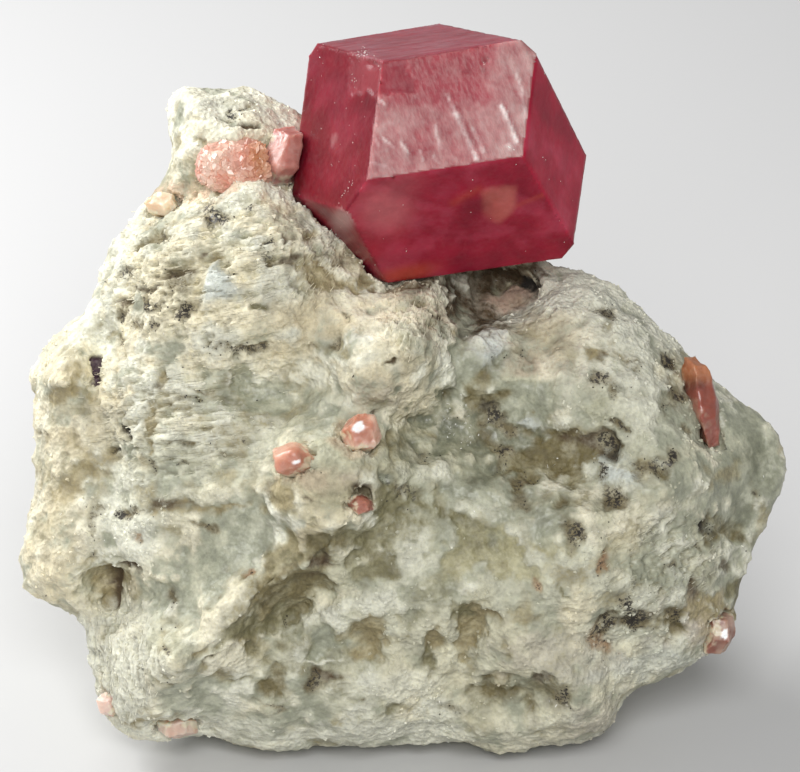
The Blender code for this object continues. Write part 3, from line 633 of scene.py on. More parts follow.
def shapeRock(piece):
    mesh = piece.data
    framePoints = readPoints(mesh)
    points, normals = toUpright(framePoints), readNormals(mesh) @ leanBack
    # the marks wander a little and have ragged rims, so that none is a clean oval
    wander = [0.40 * cloud(points, 1.1, 3, shift) for shift in (11.0, 31.0)]
    ragged = np.exp(1.9 * cloud(points, 1.3, 4, 45.0))
    x, z = points[:, 0] + wander[0], points[:, 2] + wander[1]
    front = ramp(-points[:, 1], -6.0, -2.0) * ramp(-normals[:, 1], -0.5, -0.1)
    lump, crumb, grit = (cloud(points, rock[kind][0], 4, shift)
                         for kind, shift in (("lump", 0.0), ("crumb", 3.0), ("grit", 8.0)))
    skin = ramp(cloud(points, rock["skin"][0], 5, 17.0), -0.30, 0.10)
    strand, fibrous, along, runs = strandRelief(points, front)
    collar = nearCrystals(framePoints)

    # a pale skin lies over a darker ground, and each mark changes one or the other
    over = np.tile(palette["white"][0], (len(x), 1))
    over = blend(over, palette["cream"][0], 0.6 * ramp(cloud(points, 5.0, 3, 9.0), -0.1, 0.4))
    under = np.tile(palette["glass"][0], (len(x), 1))
    under = blend(under, palette["tan"][0], 0.7 * ramp(cloud(points, 2.6, 3, 23.0), -0.1, 0.3))
    bare = rock["bareShare"] + 0.42 * (1 - skin)
    glassy = np.full(len(x), 0.5)
    named, dark = np.zeros(len(x)), np.zeros(len(x))
    for across, up, wide, high, turn, amount, kind, strength in marks:
        cover = patch(x, z, (across, up), (wide, high), turn, 2.0, ragged) * front
        tone, shine = palette[kind]
        if kind in skinKinds:
            over = blend(over, tone, strength * cover)
            bare *= 1 - (0.35 if amount == 0 else 0.9) * strength * cover
        else:
            through = 0.7 if kind == "grit" else 1.0  # grit mostly dusts the skin
            under = blend(under, tone, np.clip(2.0 * strength * cover, 0, 1))
            glassy += (shine - glassy) * np.clip(2.0 * strength * cover, 0, 1)
            bare += (1 - bare) * through * strength * cover
            amount *= through
        named += rock["hollowDepth"] * amount * cover
        if kind in ("grit", "black", "rust"):
            dark = np.maximum(dark, strength * cover)
    # the sides that the photo doesn't show get hollows and grit of the same kinds by chance
    behind = 1 - front
    hollow = ramp(cloud(points, 2.6, 4, 65.0), 0.22, 0.50) * behind
    sooty = ramp(cloud(points, 1.3, 3, 61.0), 0.25, 0.5) * \
        ramp(cloud(points, 6.0, 2, 62.0), 0.0, 0.3) * behind
    under = blend(blend(under, palette["dirtAndShade"][0], hollow), palette["grit"][0], sooty)
    over = blend(over, palette["dusk"][0], 0.8 * ramp(cloud(points, 7.0, 2, 66.0), -0.1, 0.3) * behind)
    bare += (1 - bare) * np.maximum(0.8 * hollow, 0.6 * sooty) - 0.12 * behind
    named -= 0.45 * hollow
    dark = np.maximum(dark, sooty)
    for place, radius in speckClusters:
        cover = patch(x, z, place, (radius * 1.3, radius * 1.3), 0, 1.5, ragged) * front
        under = blend(under, palette["grit"][0], cover)
        bare += (1 - bare) * 0.45 * cover
        dark = np.maximum(dark, cover)
    slits = ramp(-strand, 0.10, 0.40) * fibrous
    pits = ramp(-crumb, 0.15, 0.45) * (1 - glassy * bare)
    under = blend(under, palette["tan"][0], 0.8 * slits * (1 - bare))
    bare += (1 - bare) * (0.28 * slits + 0.2 * pits)
    bare = np.clip(bare, 0, 1)
    over = blend(over, under, 0.5 * ramp(bare, 0.25, 0.85))  # the skin thins towards its rims
    shine = glassy * bare

    sugary = anyOf(x, z, sugaryZones)
    sugary = np.maximum(sugary * front, 0.6 * (1 - front))
    height = rock["lump"][1] * lump * (1 - 0.5 * shine)
    height += rock["crumb"][1] * crumb * (1 - 0.8 * shine) * (1 - 0.5 * fibrous)
    height += rock["grit"][1] * grit * (1 - 0.9 * shine) * (0.55 + 0.45 * sugary)
    height += rock["skin"][1] * (1 - 2 * bare)
    height += rock["strandHeight"] * strand * fibrous - 0.18 * slits
    height += named + rock["collar"][1] * collar * (0.5 + crumb)
    # painted shade: both colours are darkened in the hollows
    dirtAndShade = ramp(-named - 0.25 * crumb, 0.05, 0.75)
    over *= (1 - 0.25 * dirtAndShade)[:, None]
    under *= (1 - 0.12 * dirtAndShade)[:, None]
    height *= ramp(framePoints[:, 2] / mm, 0.0, 0.8)
    moved = toFrame(points + normals * height[:, None])
    moved[:, 2] = np.clip(moved[:, 2], 0.0, None)
    setPoints(mesh, moved)

    shown = ramp(-normals[:, 1], 0.2, 0.5)  # no blades stick out of the outline
    above = ramp(framePoints[:, 2] / mm, 0.3, 0.8)
    storeColour(mesh, "tint", over)
    storeColour(mesh, "under", under)
    store(mesh, "bare", bare)
    store(mesh, "gloss", np.clip(glassy, 0, 1))
    store(mesh, "fibre", fibrous)
    store(mesh, "run", runs)
    store(mesh, "dark", dark)
    crumbly = (0.12 + 0.88 * sugary) * (1 - bare) ** 2 * ramp(crumb, -0.35, 0.25)
    store(mesh, "grainShare", np.clip(crumbly + 0.8 * collar * front, 0, 1) * above)
    store(mesh, "strandShare", fibrous * (1 - bare) * (1 - dark) * shown)
    store(mesh, "speckShare", dark * ramp(grit, -0.1, 0.3) * above + 0.001 * above)
    store(mesh, "glintShare", anyOf(x, z, glintPatches) * front + 0.005 * above)
    store(mesh, "along", along @ leanBack.T)
    mesh.shade_smooth()
    return piece


# Scattered grains, blades, specks and glints, all by one tree

def scatterTree(name, share, aligned, keepBase=False):
    tree = bpy.data.node_groups.new(name, "GeometryNodeTree")
    face = tree.interface
    face.new_socket("Geometry", in_out="INPUT", socket_type="NodeSocketGeometry")
    for label, kind in (("Shape", "Object"), ("Finish", "Material"), ("Per Square Metre", "Float"),
                        ("Smallest", "Vector"), ("Largest", "Vector"), ("Sink", "Float"), ("Seed", "Int")):
        face.new_socket(label, in_out="INPUT", socket_type=f"NodeSocket{kind}")
    face.new_socket("Geometry", in_out="OUTPUT", socket_type="NodeSocketGeometry")
    given = addNode(tree, "NodeGroupInput").outputs
    fullTurn, stray = (6.283,) * 3, 0.4  # radians, and how far a blade strays from its run
    weight = addNode(tree, "GeometryNodeInputNamedAttribute", {"Name": share}, data_type="FLOAT")
    amount = addNode(tree, "ShaderNodeMath", {0: weight.outputs["Attribute"], 1: given["Per Square Metre"]},
        operation="MULTIPLY")
    spread = addNode(tree, "GeometryNodeDistributePointsOnFaces",
        {"Mesh": given["Geometry"], "Density": amount.outputs[0], "Seed": given["Seed"]})
    size = addNode(tree, "FunctionNodeRandomValue",
        {0: given["Smallest"], 1: given["Largest"], "Seed": given["Seed"]}, data_type="FLOAT_VECTOR")
    spin = addNode(tree, "FunctionNodeRandomValue", {0: (0, 0, 0), 1: fullTurn, "Seed": given["Seed"]},
        data_type="FLOAT_VECTOR")
    turned = spin.outputs[0]
    if aligned:
        along = addNode(tree, "GeometryNodeInputNamedAttribute", {"Name": "along"}, data_type="FLOAT_VECTOR")
        chance = addNode(tree, "FunctionNodeRandomValue",
            {0: (-stray,) * 3, 1: (stray,) * 3, "Seed": given["Seed"]}, data_type="FLOAT_VECTOR")
        way = addNode(tree, "ShaderNodeVectorMath", {0: along.outputs["Attribute"], 1: chance.outputs[0]},
            operation="ADD")
        turned = addNode(tree, "FunctionNodeAlignRotationToVector", {"Vector": way.outputs[0]},
            axis="X").outputs[0]
    shape = addNode(tree, "GeometryNodeObjectInfo", {"Object": given["Shape"]})
    depth = addNode(tree, "ShaderNodeVectorMath", {0: spread.outputs["Normal"], "Scale": given["Sink"]},
        operation="SCALE")
    sunk = addNode(tree, "GeometryNodeSetPosition",
        {"Geometry": spread.outputs["Points"], "Offset": depth.outputs[0]})
    placed = addNode(tree, "GeometryNodeInstanceOnPoints",
        {"Points": sunk.outputs[0], "Instance": shape.outputs["Geometry"], "Rotation": turned,
        "Scale": size.outputs[0]})
    shade = addNode(tree, "FunctionNodeRandomValue", {2: 0.0, 3: 1.0, "Seed": given["Seed"]},
        data_type="FLOAT")
    marked = addNode(tree, "GeometryNodeStoreNamedAttribute",
        {"Geometry": placed.outputs[0], "Name": "shade", "Value": shade.outputs[1]},
        data_type="FLOAT", domain="INSTANCE")
    solid = addNode(tree, "GeometryNodeRealizeInstances", {"Geometry": marked.outputs[0]}).outputs[0]
    if keepBase:
        join = addNode(tree, "GeometryNodeJoinGeometry")
        tree.links.new(given["Geometry"], join.inputs[0])
        tree.links.new(solid, join.inputs[0])
        solid = join.outputs[0]
    finished = addNode(tree, "GeometryNodeSetMaterial", {"Geometry": solid, "Material": given["Finish"]})
    addNode(tree, "NodeGroupOutput", {"Geometry": finished.outputs[0]})
    return tree


def scatter(name, base, shape, finish, settings, aligned=False, keepBase=False):
    tree = scatterTree(f"{name} tree", settings["share"], aligned, keepBase)
    piece = newObject(name, base.data.copy())
    grow = piece.modifiers.new("scatter", "NODES")
    grow.node_group = tree
    values = {"Shape": shape, "Finish": finish, "Per Square Metre": settings["perSquareMm"] * 1e6,
              "Smallest": [v * mm for v in settings["smallest"]],
              "Largest": [v * mm for v in settings["largest"]],
              "Sink": settings["sink"] * mm, "Seed": settings["seed"]}
    for socket in tree.interface.items_tree:
        if socket.in_out == "INPUT" and socket.name in values:
            grow[socket.identifier] = values[socket.name]
    applied(piece)
    print(name, "has", len(piece.data.polygons), "faces")
    return piece


def shapeObject(name, form):
    mesh = bpy.data.meshes.new(name)
    bmesh.ops.recalc_face_normals(form, faces=form.faces)
    form.to_mesh(mesh)
    form.free()
    made = newObject(name, mesh)
    made.hide_render = True
    return made


def grainShape():
    # A broken grain one unit across, with uneven corners.
    form = bmesh.new()
    bmesh.ops.create_cube(form, size=0.8)
    chance = random.Random(4)
    for vertex in form.verts:
        vertex.co += Vector(chance.uniform(-0.2, 0.2) for _ in range(3))
    return shapeObject("grainShape", form)


def bladeShape():
    # A three-sided blade one unit long, along x, thinner at one end.
    form = bmesh.new()
    bmesh.ops.create_cone(form, segments=3, radius1=0.5, radius2=0.22, depth=1, cap_ends=True)
    form.transform(Matrix.Rotation(math.radians(90), 4, "Y"))
    return shapeObject("bladeShape", form)


def plateShape():
    form = bmesh.new()
    bmesh.ops.create_cone(form, segments=5, radius1=0.5, radius2=0.42, depth=0.3, cap_ends=True)
    return shapeObject("plateShape", form)


def dodecahedronShape():
    # A rhombic dodecahedron one unit across its faces, as small garnets grow.
    form = bmesh.new()
    bmesh.ops.create_cube(form, size=4)
    for a, b in ((0, 1), (1, 2), (0, 2)):
        for first in (-1, 1):
            for second in (-1, 1):
                out = Vector((0, 0, 0))
                out[a], out[b] = first, second
                out.normalize()
                cut = bmesh.ops.bisect_plane(form, geom=form.verts[:] + form.edges[:] + form.faces[:],
                                             plane_co=out * 0.5, plane_no=out, clear_outer=True)
                bmesh.ops.contextual_create(form,
                    geom=[e for e in cut["geom_cut"] if isinstance(e, bmesh.types.BMEdge)])
    return shapeObject("dodecahedronShape", form)


# Finishes

rockScatter = {"Subsurface Weight": 0.15, "Subsurface Radius": (1.0, 0.9, 0.7), "Subsurface Scale": 0.6 * mm}


def rockFinish():
    # Broken rock, taken to be wollastonite and calcite: a dull, crumbly pale skin with a ragged
    # edge, a little translucent, over a smoother and glassier ground.
    made = newMaterial("calcite and wollastonite, broken")
    tree = made.node_tree
    place = addNode(tree, "ShaderNodeTexCoord").outputs["Object"]
    stored = ("tint", "under", "bare", "gloss", "fibre", "run", "dark")
    read = {name: addNode(tree, "ShaderNodeAttribute", attribute_name=name).outputs for name in stored}
    skin, ground, run = read["tint"]["Color"], read["under"]["Color"], read["run"]["Vector"]
    share, gloss, fibre, dark = (read[name]["Fac"] for name in ("bare", "gloss", "fibre", "dark"))
    # 0.36 mm crumbs, 1.2 mm clouds and 0.3 mm grains
    crumbs = addNode(tree, "ShaderNodeTexNoise", {"Vector": place, "Scale": 2800.0, "Detail": 5.0,
        "Roughness": 0.68})
    broad = addNode(tree, "ShaderNodeTexNoise", {"Vector": place, "Scale": 800.0, "Detail": 4.0,
        "Roughness": 0.6})
    cells = addNode(tree, "ShaderNodeTexVoronoi", {"Vector": place, "Scale": 3300.0})
    edge = addNode(tree, "ShaderNodeMath", {0: crumbs.outputs["Fac"], 1: 1.3, 2: share},
        operation="MULTIPLY_ADD")
    bare = addNode(tree, "ShaderNodeMapRange", {"Value": edge.outputs[0], "From Min": 0.88,
        "From Max": 1.42}, interpolation_type="SMOOTHSTEP")
    # blades 0.11 mm wide, with dirt between them, and dark mineral dust in 0.25 mm specks
    blades = addNode(tree, "ShaderNodeTexNoise", {"Vector": run, "Scale": 1.0, "Detail": 3.0,
        "Roughness": 0.6})
    between = addNode(tree, "ShaderNodeMapRange", {"Value": blades.outputs["Fac"], "From Min": 0.44,
        "From Max": 0.30, "To Max": 0.45})
    gaps = addNode(tree, "ShaderNodeMath", {0: between.outputs[0], 1: fibre}, operation="MULTIPLY")
    dust = addNode(tree, "ShaderNodeTexNoise", {"Vector": place, "Scale": 4000.0, "Detail": 3.0,
        "Roughness": 0.7})
    dusty = addNode(tree, "ShaderNodeMath", {0: dark, 1: 0.23, 2: dust.outputs["Fac"]},
        operation="MULTIPLY_ADD")
    speck = addNode(tree, "ShaderNodeMapRange", {"Value": dusty.outputs[0], "From Min": 0.68,
        "From Max": 0.72})
    sooty = addNode(tree, "ShaderNodeMath", {0: speck.outputs[0], 1: dark}, operation="MULTIPLY",
        use_clamp=True)
    both = addNode(tree, "ShaderNodeMath", {0: crumbs.outputs["Fac"], 1: broad.outputs["Fac"]},
        operation="ADD")
    level = addNode(tree, "ShaderNodeMapRange", {"Value": both.outputs[0], "From Min": 0.76,
        "From Max": 1.24, "To Min": 0.66, "To Max": 1.14})
    # the ground itself is milky in places
    clear = addNode(tree, "ShaderNodeMapRange", {"Value": broad.outputs["Fac"], "From Min": 0.46,
        "From Max": 0.62, "To Min": 1.0, "To Max": 0.5})
    ground = addNode(tree, "ShaderNodeMix", {0: clear.outputs[0], 6: skin, 7: ground},
        data_type="RGBA").outputs[2]
    colour = addNode(tree, "ShaderNodeMix", {0: bare.outputs[0], 6: skin, 7: ground}, data_type="RGBA")
    seamed = addNode(tree, "ShaderNodeMix", {0: gaps.outputs[0], 6: colour.outputs[2],
        7: (*palette["tan"][0], 1)}, data_type="RGBA")
    specked = addNode(tree, "ShaderNodeMix", {0: sooty.outputs[0], 6: seamed.outputs[2],
        7: (*palette["black"][0], 1)}, data_type="RGBA")
    shaded = addNode(tree, "ShaderNodeVectorMath", {0: specked.outputs[2], "Scale": level.outputs[0]},
        operation="SCALE")
    glassy = addNode(tree, "ShaderNodeMath", {0: bare.outputs[0], 1: gloss}, operation="MULTIPLY")
    dull = addNode(tree, "ShaderNodeMapRange", {"Value": glassy.outputs[0], "To Min": 0.82, "To Max": 0.32})
    rough = addNode(tree, "ShaderNodeMath", {0: crumbs.outputs["Fac"], 1: cells.outputs["Distance"]},
        operation="ADD")
    bladed = addNode(tree, "ShaderNodeMath", {0: gaps.outputs[0], 1: -1.6, 2: rough.outputs[0]},
        operation="MULTIPLY_ADD")
    height = addNode(tree, "ShaderNodeMath", {0: bare.outputs[0], 1: -0.6, 2: bladed.outputs[0]},
        operation="MULTIPLY_ADD")
    depth = addNode(tree, "ShaderNodeMapRange", {"Value": glassy.outputs[0], "To Min": 0.85, "To Max": 0.30})
    bump = addNode(tree, "ShaderNodeBump", {"Height": height.outputs[0], "Strength": depth.outputs[0],
        "Distance": 0.14 * mm})
    shader = addNode(tree, "ShaderNodeBsdfPrincipled", {
        "Base Color": shaded.outputs[0], "Roughness": dull.outputs[0], "IOR": 1.6, "Normal": bump.outputs[0],
        **rockScatter,
    })
    addNode(tree, "ShaderNodeOutputMaterial", {"Surface": shader.outputs[0]})
    return made


def grainFinish():
    # The same rock in loose grains: each takes the colour of the skin under it.
    made = newMaterial("calcite and wollastonite, loose grains")
    tree = made.node_tree
    tint = addNode(tree, "ShaderNodeAttribute", attribute_name="tint").outputs["Color"]
    shade = addNode(tree, "ShaderNodeAttribute", attribute_name="shade").outputs["Fac"]
    level = addNode(tree, "ShaderNodeMapRange", {"Value": shade, "To Min": 0.82, "To Max": 1.14})
    shaded = addNode(tree, "ShaderNodeVectorMath", {0: tint, "Scale": level.outputs[0]}, operation="SCALE")
    shader = addNode(tree, "ShaderNodeBsdfPrincipled", {
        "Base Color": shaded.outputs[0], "Roughness": 0.6, "IOR": 1.6,
        **rockScatter,
    })
    addNode(tree, "ShaderNodeOutputMaterial", {"Surface": shader.outputs[0]})
    return made


def plainFinish(name, colour, roughness, ior=1.5):
    made = newMaterial(name)
    tree = made.node_tree
    place = addNode(tree, "ShaderNodeTexCoord").outputs["Object"]
    speckle = addNode(tree, "ShaderNodeTexNoise", {"Vector": place, "Scale": 3000.0, "Detail": 2.0})
    level = addNode(tree, "ShaderNodeMapRange", {"Value": speckle.outputs["Fac"], "From Min": 0.3,
        "From Max": 0.7, "To Min": 0.6, "To Max": 1.3})
    shaded = addNode(tree, "ShaderNodeVectorMath", {0: tuple(linear(colour)), "Scale": level.outputs[0]},
        operation="SCALE")
    shader = addNode(tree, "ShaderNodeBsdfPrincipled", {
        "Base Color": shaded.outputs[0], "Roughness": roughness, "IOR": ior})
    addNode(tree, "ShaderNodeOutputMaterial", {"Surface": shader.outputs[0]})
    return made


def garnetFinish(name, radius, scatterShare, bumpHeight, specular):
    # Natural grossular faces, satin over cloudy flesh that glows red where light enters. The
    # mesh carries the tint and how frosted each place is.
    made = newMaterial(name)
    tree = made.node_tree
    place = addNode(tree, "ShaderNodeTexCoord").outputs["Object"]
    tint = addNode(tree, "ShaderNodeAttribute", attribute_name="tint").outputs["Color"]
    frost = addNode(tree, "ShaderNodeAttribute", attribute_name="frost").outputs["Fac"]
    # 1.4 mm clouds, and fine etching along the run that is whiter where it is frosted
    clouds = addNode(tree, "ShaderNodeTexNoise", {"Vector": place, "Scale": 700.0, "Detail": 5.0,
        "Roughness": 0.65})
    run = addNode(tree, "ShaderNodeAttribute", attribute_name="run").outputs["Vector"]
    grain = addNode(tree, "ShaderNodeTexNoise", {"Vector": run, "Scale": 1.0, "Detail": 4.0,
        "Roughness": 0.6})
    level = addNode(tree, "ShaderNodeMapRange", {"Value": clouds.outputs["Fac"], "From Min": 0.3,
        "From Max": 0.7, "To Min": 0.84, "To Max": 1.16})
    shaded = addNode(tree, "ShaderNodeVectorMath", {0: tint, "Scale": level.outputs[0]}, operation="SCALE")
    ice = addNode(tree, "ShaderNodeMapRange", {"Value": grain.outputs["Fac"], "From Min": 0.40,
        "From Max": 0.80, "To Max": 0.24})
    icy = addNode(tree, "ShaderNodeMath", {0: ice.outputs[0], 1: frost}, operation="MULTIPLY")
    whitened = addNode(tree, "ShaderNodeMix", {0: icy.outputs[0], 6: shaded.outputs[0],
        7: (0.80, 0.66, 0.62, 1)}, data_type="RGBA")
    rough = addNode(tree, "ShaderNodeMapRange", {"Value": frost, "To Min": 0.28, "To Max": 0.42})
    depth = addNode(tree, "ShaderNodeMapRange", {"Value": frost, "To Min": 0.10, "To Max": 0.9})
    bump = addNode(tree, "ShaderNodeBump", {"Height": grain.outputs["Fac"], "Strength": depth.outputs[0],
        "Distance": bumpHeight * mm})
    shader = addNode(tree, "ShaderNodeBsdfPrincipled", {
        "Base Color": whitened.outputs[2], "Roughness": rough.outputs[0], "Normal": bump.outputs[0],
        "IOR": 1.74, "Specular IOR Level": specular,
        "Subsurface Weight": scatterShare, "Subsurface Radius": radius, "Subsurface Scale": 1.2 * mm,
    })
    addNode(tree, "ShaderNodeOutputMaterial", {"Surface": shader.outputs[0]})
    return made


# Big crystal

garnet = {
    "treeDepth": 7,  # 0.15 mm cells
    "edgeWidth": 0.12,  # mm, of the wear along each edge
    "edgeWear": 0.05,
    "deep": linear("#8f1a30"),
    "rosy": linear("#a5394d"),
    "veil": linear("#b0585f"),
    "silver": linear("#cba6a2"),
    "salmon": linear("#bd7060"),
    "orange": linear("#b04a2c"),
    "night": linear("#741527"),
    # painted highlight of the ridges
    "ridgeHighlight": linear("#fff6f2"),
    "sheen": linear("#9a5f68"),
    "paintedFaceShading": (0.88, 0.76, 0.59, 1.00, 1.34, 0.85),  # painted shading: how much lighter or darker the colour is on each seen face, for the light falling on it
}


def faceNormals(mesh):
    # The crystal's own faces, with the six that are seen first: etched front, top, left,
    # lower front, right and the sliver at the lower left.
    turn = Euler([math.radians(a) for a in pose["garnetTurn"]]).to_matrix()
    ways = [(1, 1, 0), (0, 1, 1), (1, 0, 1), (1, 0, -1), (0, 1, -1), (1, -1, 0)]
    ways += [tuple(-c for c in way) for way in ways]
    ideal = np.array([turn @ Vector(way).normalized() for way in ways])
    own = np.array([face.normal for face in mesh.polygons]) @ leanBack
    return own[(own @ ideal.T).argmax(axis=0)]


def line(x, z, start, end, halfWidth):
    ax, az = start
    bx, bz = end[0] - ax, end[1] - az
    share = np.clip(((x - ax) * bx + (z - az) * bz) / (bx * bx + bz * bz), 0, 1)
    return np.exp(-((np.hypot(x - ax - share * bx, z - az - share * bz) / halfWidth) ** 2))


# Ridges on the etched front face, raised, and painted white as a highlight where they catch the light: start,
# end, half width, height.
etchRidges = [
    ((3.1, 16.3), (4.5, 13.2), 0.15, 0.10), ((4.3, 15.0), (4.9, 13.6), 0.12, 0.05),
    ((5.9, 16.3), (6.8, 14.2), 0.15, 0.10), ((2.7, 17.0), (3.1, 16.2), 0.12, 0.06),
    ((6.3, 14.0), (6.5, 13.8), 0.20, 0.08), ((-1.5, 14.6), (-1.2, 13.9), 0.10, 0.06),
    ((-0.9, 14.4), (-0.4, 13.9), 0.10, 0.06), ((0.0, 14.2), (0.5, 13.5), 0.10, 0.06),
    ((1.1, 13.7), (1.3, 13.1), 0.10, 0.06), ((-1.4, 16.9), (-0.9, 16.4), 0.10, 0.05),
    ((6.8, 18.2), (7.1, 17.2), 0.12, 0.05), ((2.0, 15.2), (2.3, 13.8), 0.12, 0.04),
    ((-1.6, 13.0), (-0.8, 12.8), 0.12, 0.05), ((6.9, 17.4), (7.6, 14.4), 0.16, 0.04),
    ((1.9, 13.4), (2.2, 13.0), 0.10, 0.05),
]
facePits = {
    "pit in the corner": ((-1.7, 18.9), 0.3, 0.15),
    "pit near the top edge": ((5.0, 19.1), 0.22, 0.25),
    "second pit by it": ((4.9, 18.5), 0.16, 0.15),
    "dimple on the left": ((-3.9, 14.3), 0.3, 0.06),
}
# Small bright breaks and dust on the faces: place, radii, turn.
sparkPatches = [
    ((-2.3, 19.5), (0.45, 0.30)), ((-2.8, 18.0), (0.16, 0.45), 20), ((-1.5, 19.1), (0.25, 0.15)),
    ((-1.3, 18.4), (0.12, 0.3)), ((5.0, 18.9), (0.15, 0.3)), ((6.4, 13.9), (0.35, 0.2)),
    ((-3.0, 11.6), (0.12, 0.5), -35), ((-3.4, 11.0), (0.1, 0.4), -30),
]


def anyRidge(x, z, widthShare=1.0):
    shown = np.zeros(len(x))
    for start, end, halfWidth, amount in etchRidges:
        shown = np.maximum(shown, amount * 10 * line(x, z, start, end, widthShare * halfWidth))
    return shown


def bigCrystal():
    piece = weldedCopy("main_garnet", "bigGarnet")
    normals = faceNormals(piece.data)
    corners = toUpright(cornersOf("main_garnet"))
    reach = (corners @ normals.T).max(axis=0)
    remesh = piece.modifiers.new("fine cells", "REMESH")
    remesh.mode = "SHARP"
    remesh.octree_depth = garnet["treeDepth"]
    remesh.scale = 0.9
    remesh.sharpness = 1.0
    mesh = applied(piece)
    points = toUpright(readPoints(mesh))
    x, z = points[:, 0], points[:, 2]
    depths = reach - points @ normals.T
    face = depths.argmin(axis=1)
    edge = np.sort(depths, axis=1)[:, 1]
    out = normals[face]
    on = [(face == i).astype(float) for i in range(12)]
    etched, top, left, lower, right, sliver = on[:6]

    wave = cloud(points, 2.2, 3, 2.0)
    fine = cloud(points, 0.55, 2, 6.0)
    run = np.stack([(x * 0.95 + z * 0.31) / 0.55, points[:, 1] / 0.8, (z * 0.95 - x * 0.31) / 2.0], axis=1)
    etch = cloud(run, 1.0, 3, 1.0)
    ridges = etched * anyRidge(x + 0.12 * wave, z, 0.75)
    ridges *= 0.35 + 0.65 * ramp(fine + 0.5 * etch, -0.3, 0.3)
    # the upper left of the etched face is a lower growth layer with a ragged rim
    wobble = 0.30 * fine + 0.15 * wave
    layer = ramp(wobble + np.minimum.reduce([1.0 + 0.30 * (17.0 - z) - x, x + 3.1, z - 17.0 + 0.06 * x]),
        -0.10, 0.12)
    height = 0.010 * wave + 0.005 * fine
    height += etched * (0.045 * etch + 0.030 * fine) * (1 - 0.6 * layer) + 0.08 * ridges
    sunken = layer * np.maximum(etched, left * ramp(x, -3.3, -2.4)) * ramp(edge, 0.0, 0.35)
    height -= 0.12 * sunken
    height += top * 0.02 * cloud(np.stack([x / 3.0, points[:, 1] / 0.5, z / 0.5], axis=1), 1.0, 2, 3.0)
    height += left * 0.012 * ramp(fine, 0.1, 0.5)
    height += lower * 0.010 * ramp(cloud(points, 0.9, 3, 14.0), 0.15, 0.6)
    for place, radius, amount in facePits.values():
        height -= amount * patch(x, z, place, (radius, radius)) * (points[:, 1] < -4)
    worn = np.exp(-((edge / garnet["edgeWidth"]) ** 2))
    height -= worn * (garnet["edgeWear"] + 0.05 * np.clip(cloud(points, 0.8, 3, 21.0), 0, 1))
    height -= 0.25 * patch(x, z, (7.9, 20.6), (0.6, 0.5), -30) * np.maximum(top, right)  # chipped corner
    height += depths.min(axis=1)  # brings each point exactly onto its face first
    setPoints(mesh, toFrame(points + out * height[:, None]))

    mottle = cloud(points, 3.2, 4, 40.0)
    veil = cloud(np.stack([x / 2.6, points[:, 1] / 2.6, z / 1.2], axis=1), 1.0, 4, 50.0)
    colour = np.tile(garnet["deep"], (len(points), 1))
    # the etched face is painted silvery, partly its frosted film and partly painted sheen, strongest lower
    # down and to the right
    filmAndSheen = 0.02 + 0.34 * ramp(17.4 - z, -0.2, 2.0) + 0.58 * ramp(x, 4.6, 7.4)
    filmAndSheen = filmAndSheen + 0.34 * etch + 0.22 * fine + 0.3 * wave
    thin = 0.2 * layer + 0.12 * patch(x, z, (1.6, 18.2), (2.0, 1.4))
    filmAndSheen -= thin + 0.12 * patch(x, z, (5.3, 18.6), (1.2, 0.7))
    shaded = etched * np.clip(anyRidge(x - 0.24, z) - ridges, 0, 1)  # the far sides of the ridges
    bands = cloud(np.stack([x / 4.0, points[:, 1] / 0.7, z / 0.35], axis=1), 1.0, 3, 33.0)
    sides = [x - 4.74, 6.85 - x, 11.7 - z + 0.1 * (x - 5.7), 0.85 * z - 8.2 + 0.5 * (x - 5.4),
        0.8 * z - 7.7 - 0.6 * (x - 6.0)]
    inclusion = ramp(-np.log(sum(np.exp(-6 * side) for side in sides)) / 6 + 0.10 * fine, -0.15, 0.30)
    orangeLines = np.maximum(line(x, z, (4.6, 11.5), (3.1, 10.7), 0.22),
        line(x, z, (6.9, 10.6), (8.4, 11.2), 0.14))
    smear = ramp(x, -2.4, 1.2) * ramp(-x, -2.6, 0.0) * patch(x, z, (0.2, 12.0), (2.2, 0.7))
    layers = [
        ("rosy", ramp(mottle, 0.0, 0.6) * 0.6),
        ("night", ramp(-mottle, 0.0, 0.5) * 0.5),
        ("rosy", ramp(veil, 0.1, 0.5) * 0.5 * lower),
        ("veil", etched * 0.65 * (1 - 0.5 * layer)),
        ("veil", layer * left * ramp(x, -3.3, -2.4) * 0.7),
        # painted sheen: the silvery tint of the etched face, partly its frosted film
        ("silver", etched * np.clip(filmAndSheen, 0.02, 0.9)),
        ("deep", shaded * 0.55),
        # painted highlight along the ridges
        ("ridgeHighlight", np.clip(ridges, 0, 1) * 0.9),
        ("sheen", top * (0.62 + 0.5 * bands)),
        ("salmon", inclusion * lower * 0.5),
        ("orange", orangeLines * lower * 0.28),
        ("night", patch(x, z, (4.2, 9.9), (1.4, 0.9), 20) * lower * 0.6),
        ("orange", patch(x, z, (0.3, 6.6), (1.8, 0.5), 12) * (lower + sliver) * 0.6),
        # painted glow: a lighter patch on the lower face where light shines through the crystal
        ("veil", patch(x, z, (-0.8, 10.3), (1.6, 1.3)) * lower * 0.95),
        ("veil", smear * lower * 0.4),
        ("silver", patch(x, z, (-3.9, 14.5), (0.22, 0.42), -15, 3.0) * left * ramp(fine, -0.4, 0.3) * 0.5),
        ("rosy", patch(x, z, (-2.6, 15.2), (1.0, 1.0)) * left * 0.5),
        ("rosy", patch(x, z, (-3.8, 12.4), (1.1, 0.9)) * left * 0.5),
        ("silver", patch(x, z, (-3.2, 9.9), (0.7, 0.9), -40, 2.0) * sliver * 0.55),
    ]
    for tone, share in layers:
        colour = blend(colour, garnet[tone], share)
    colour = blend(colour, colour * [1.0, 0.72, 0.78], left + 0.6 * top)  # purer where no silvery film and painted sheen lie
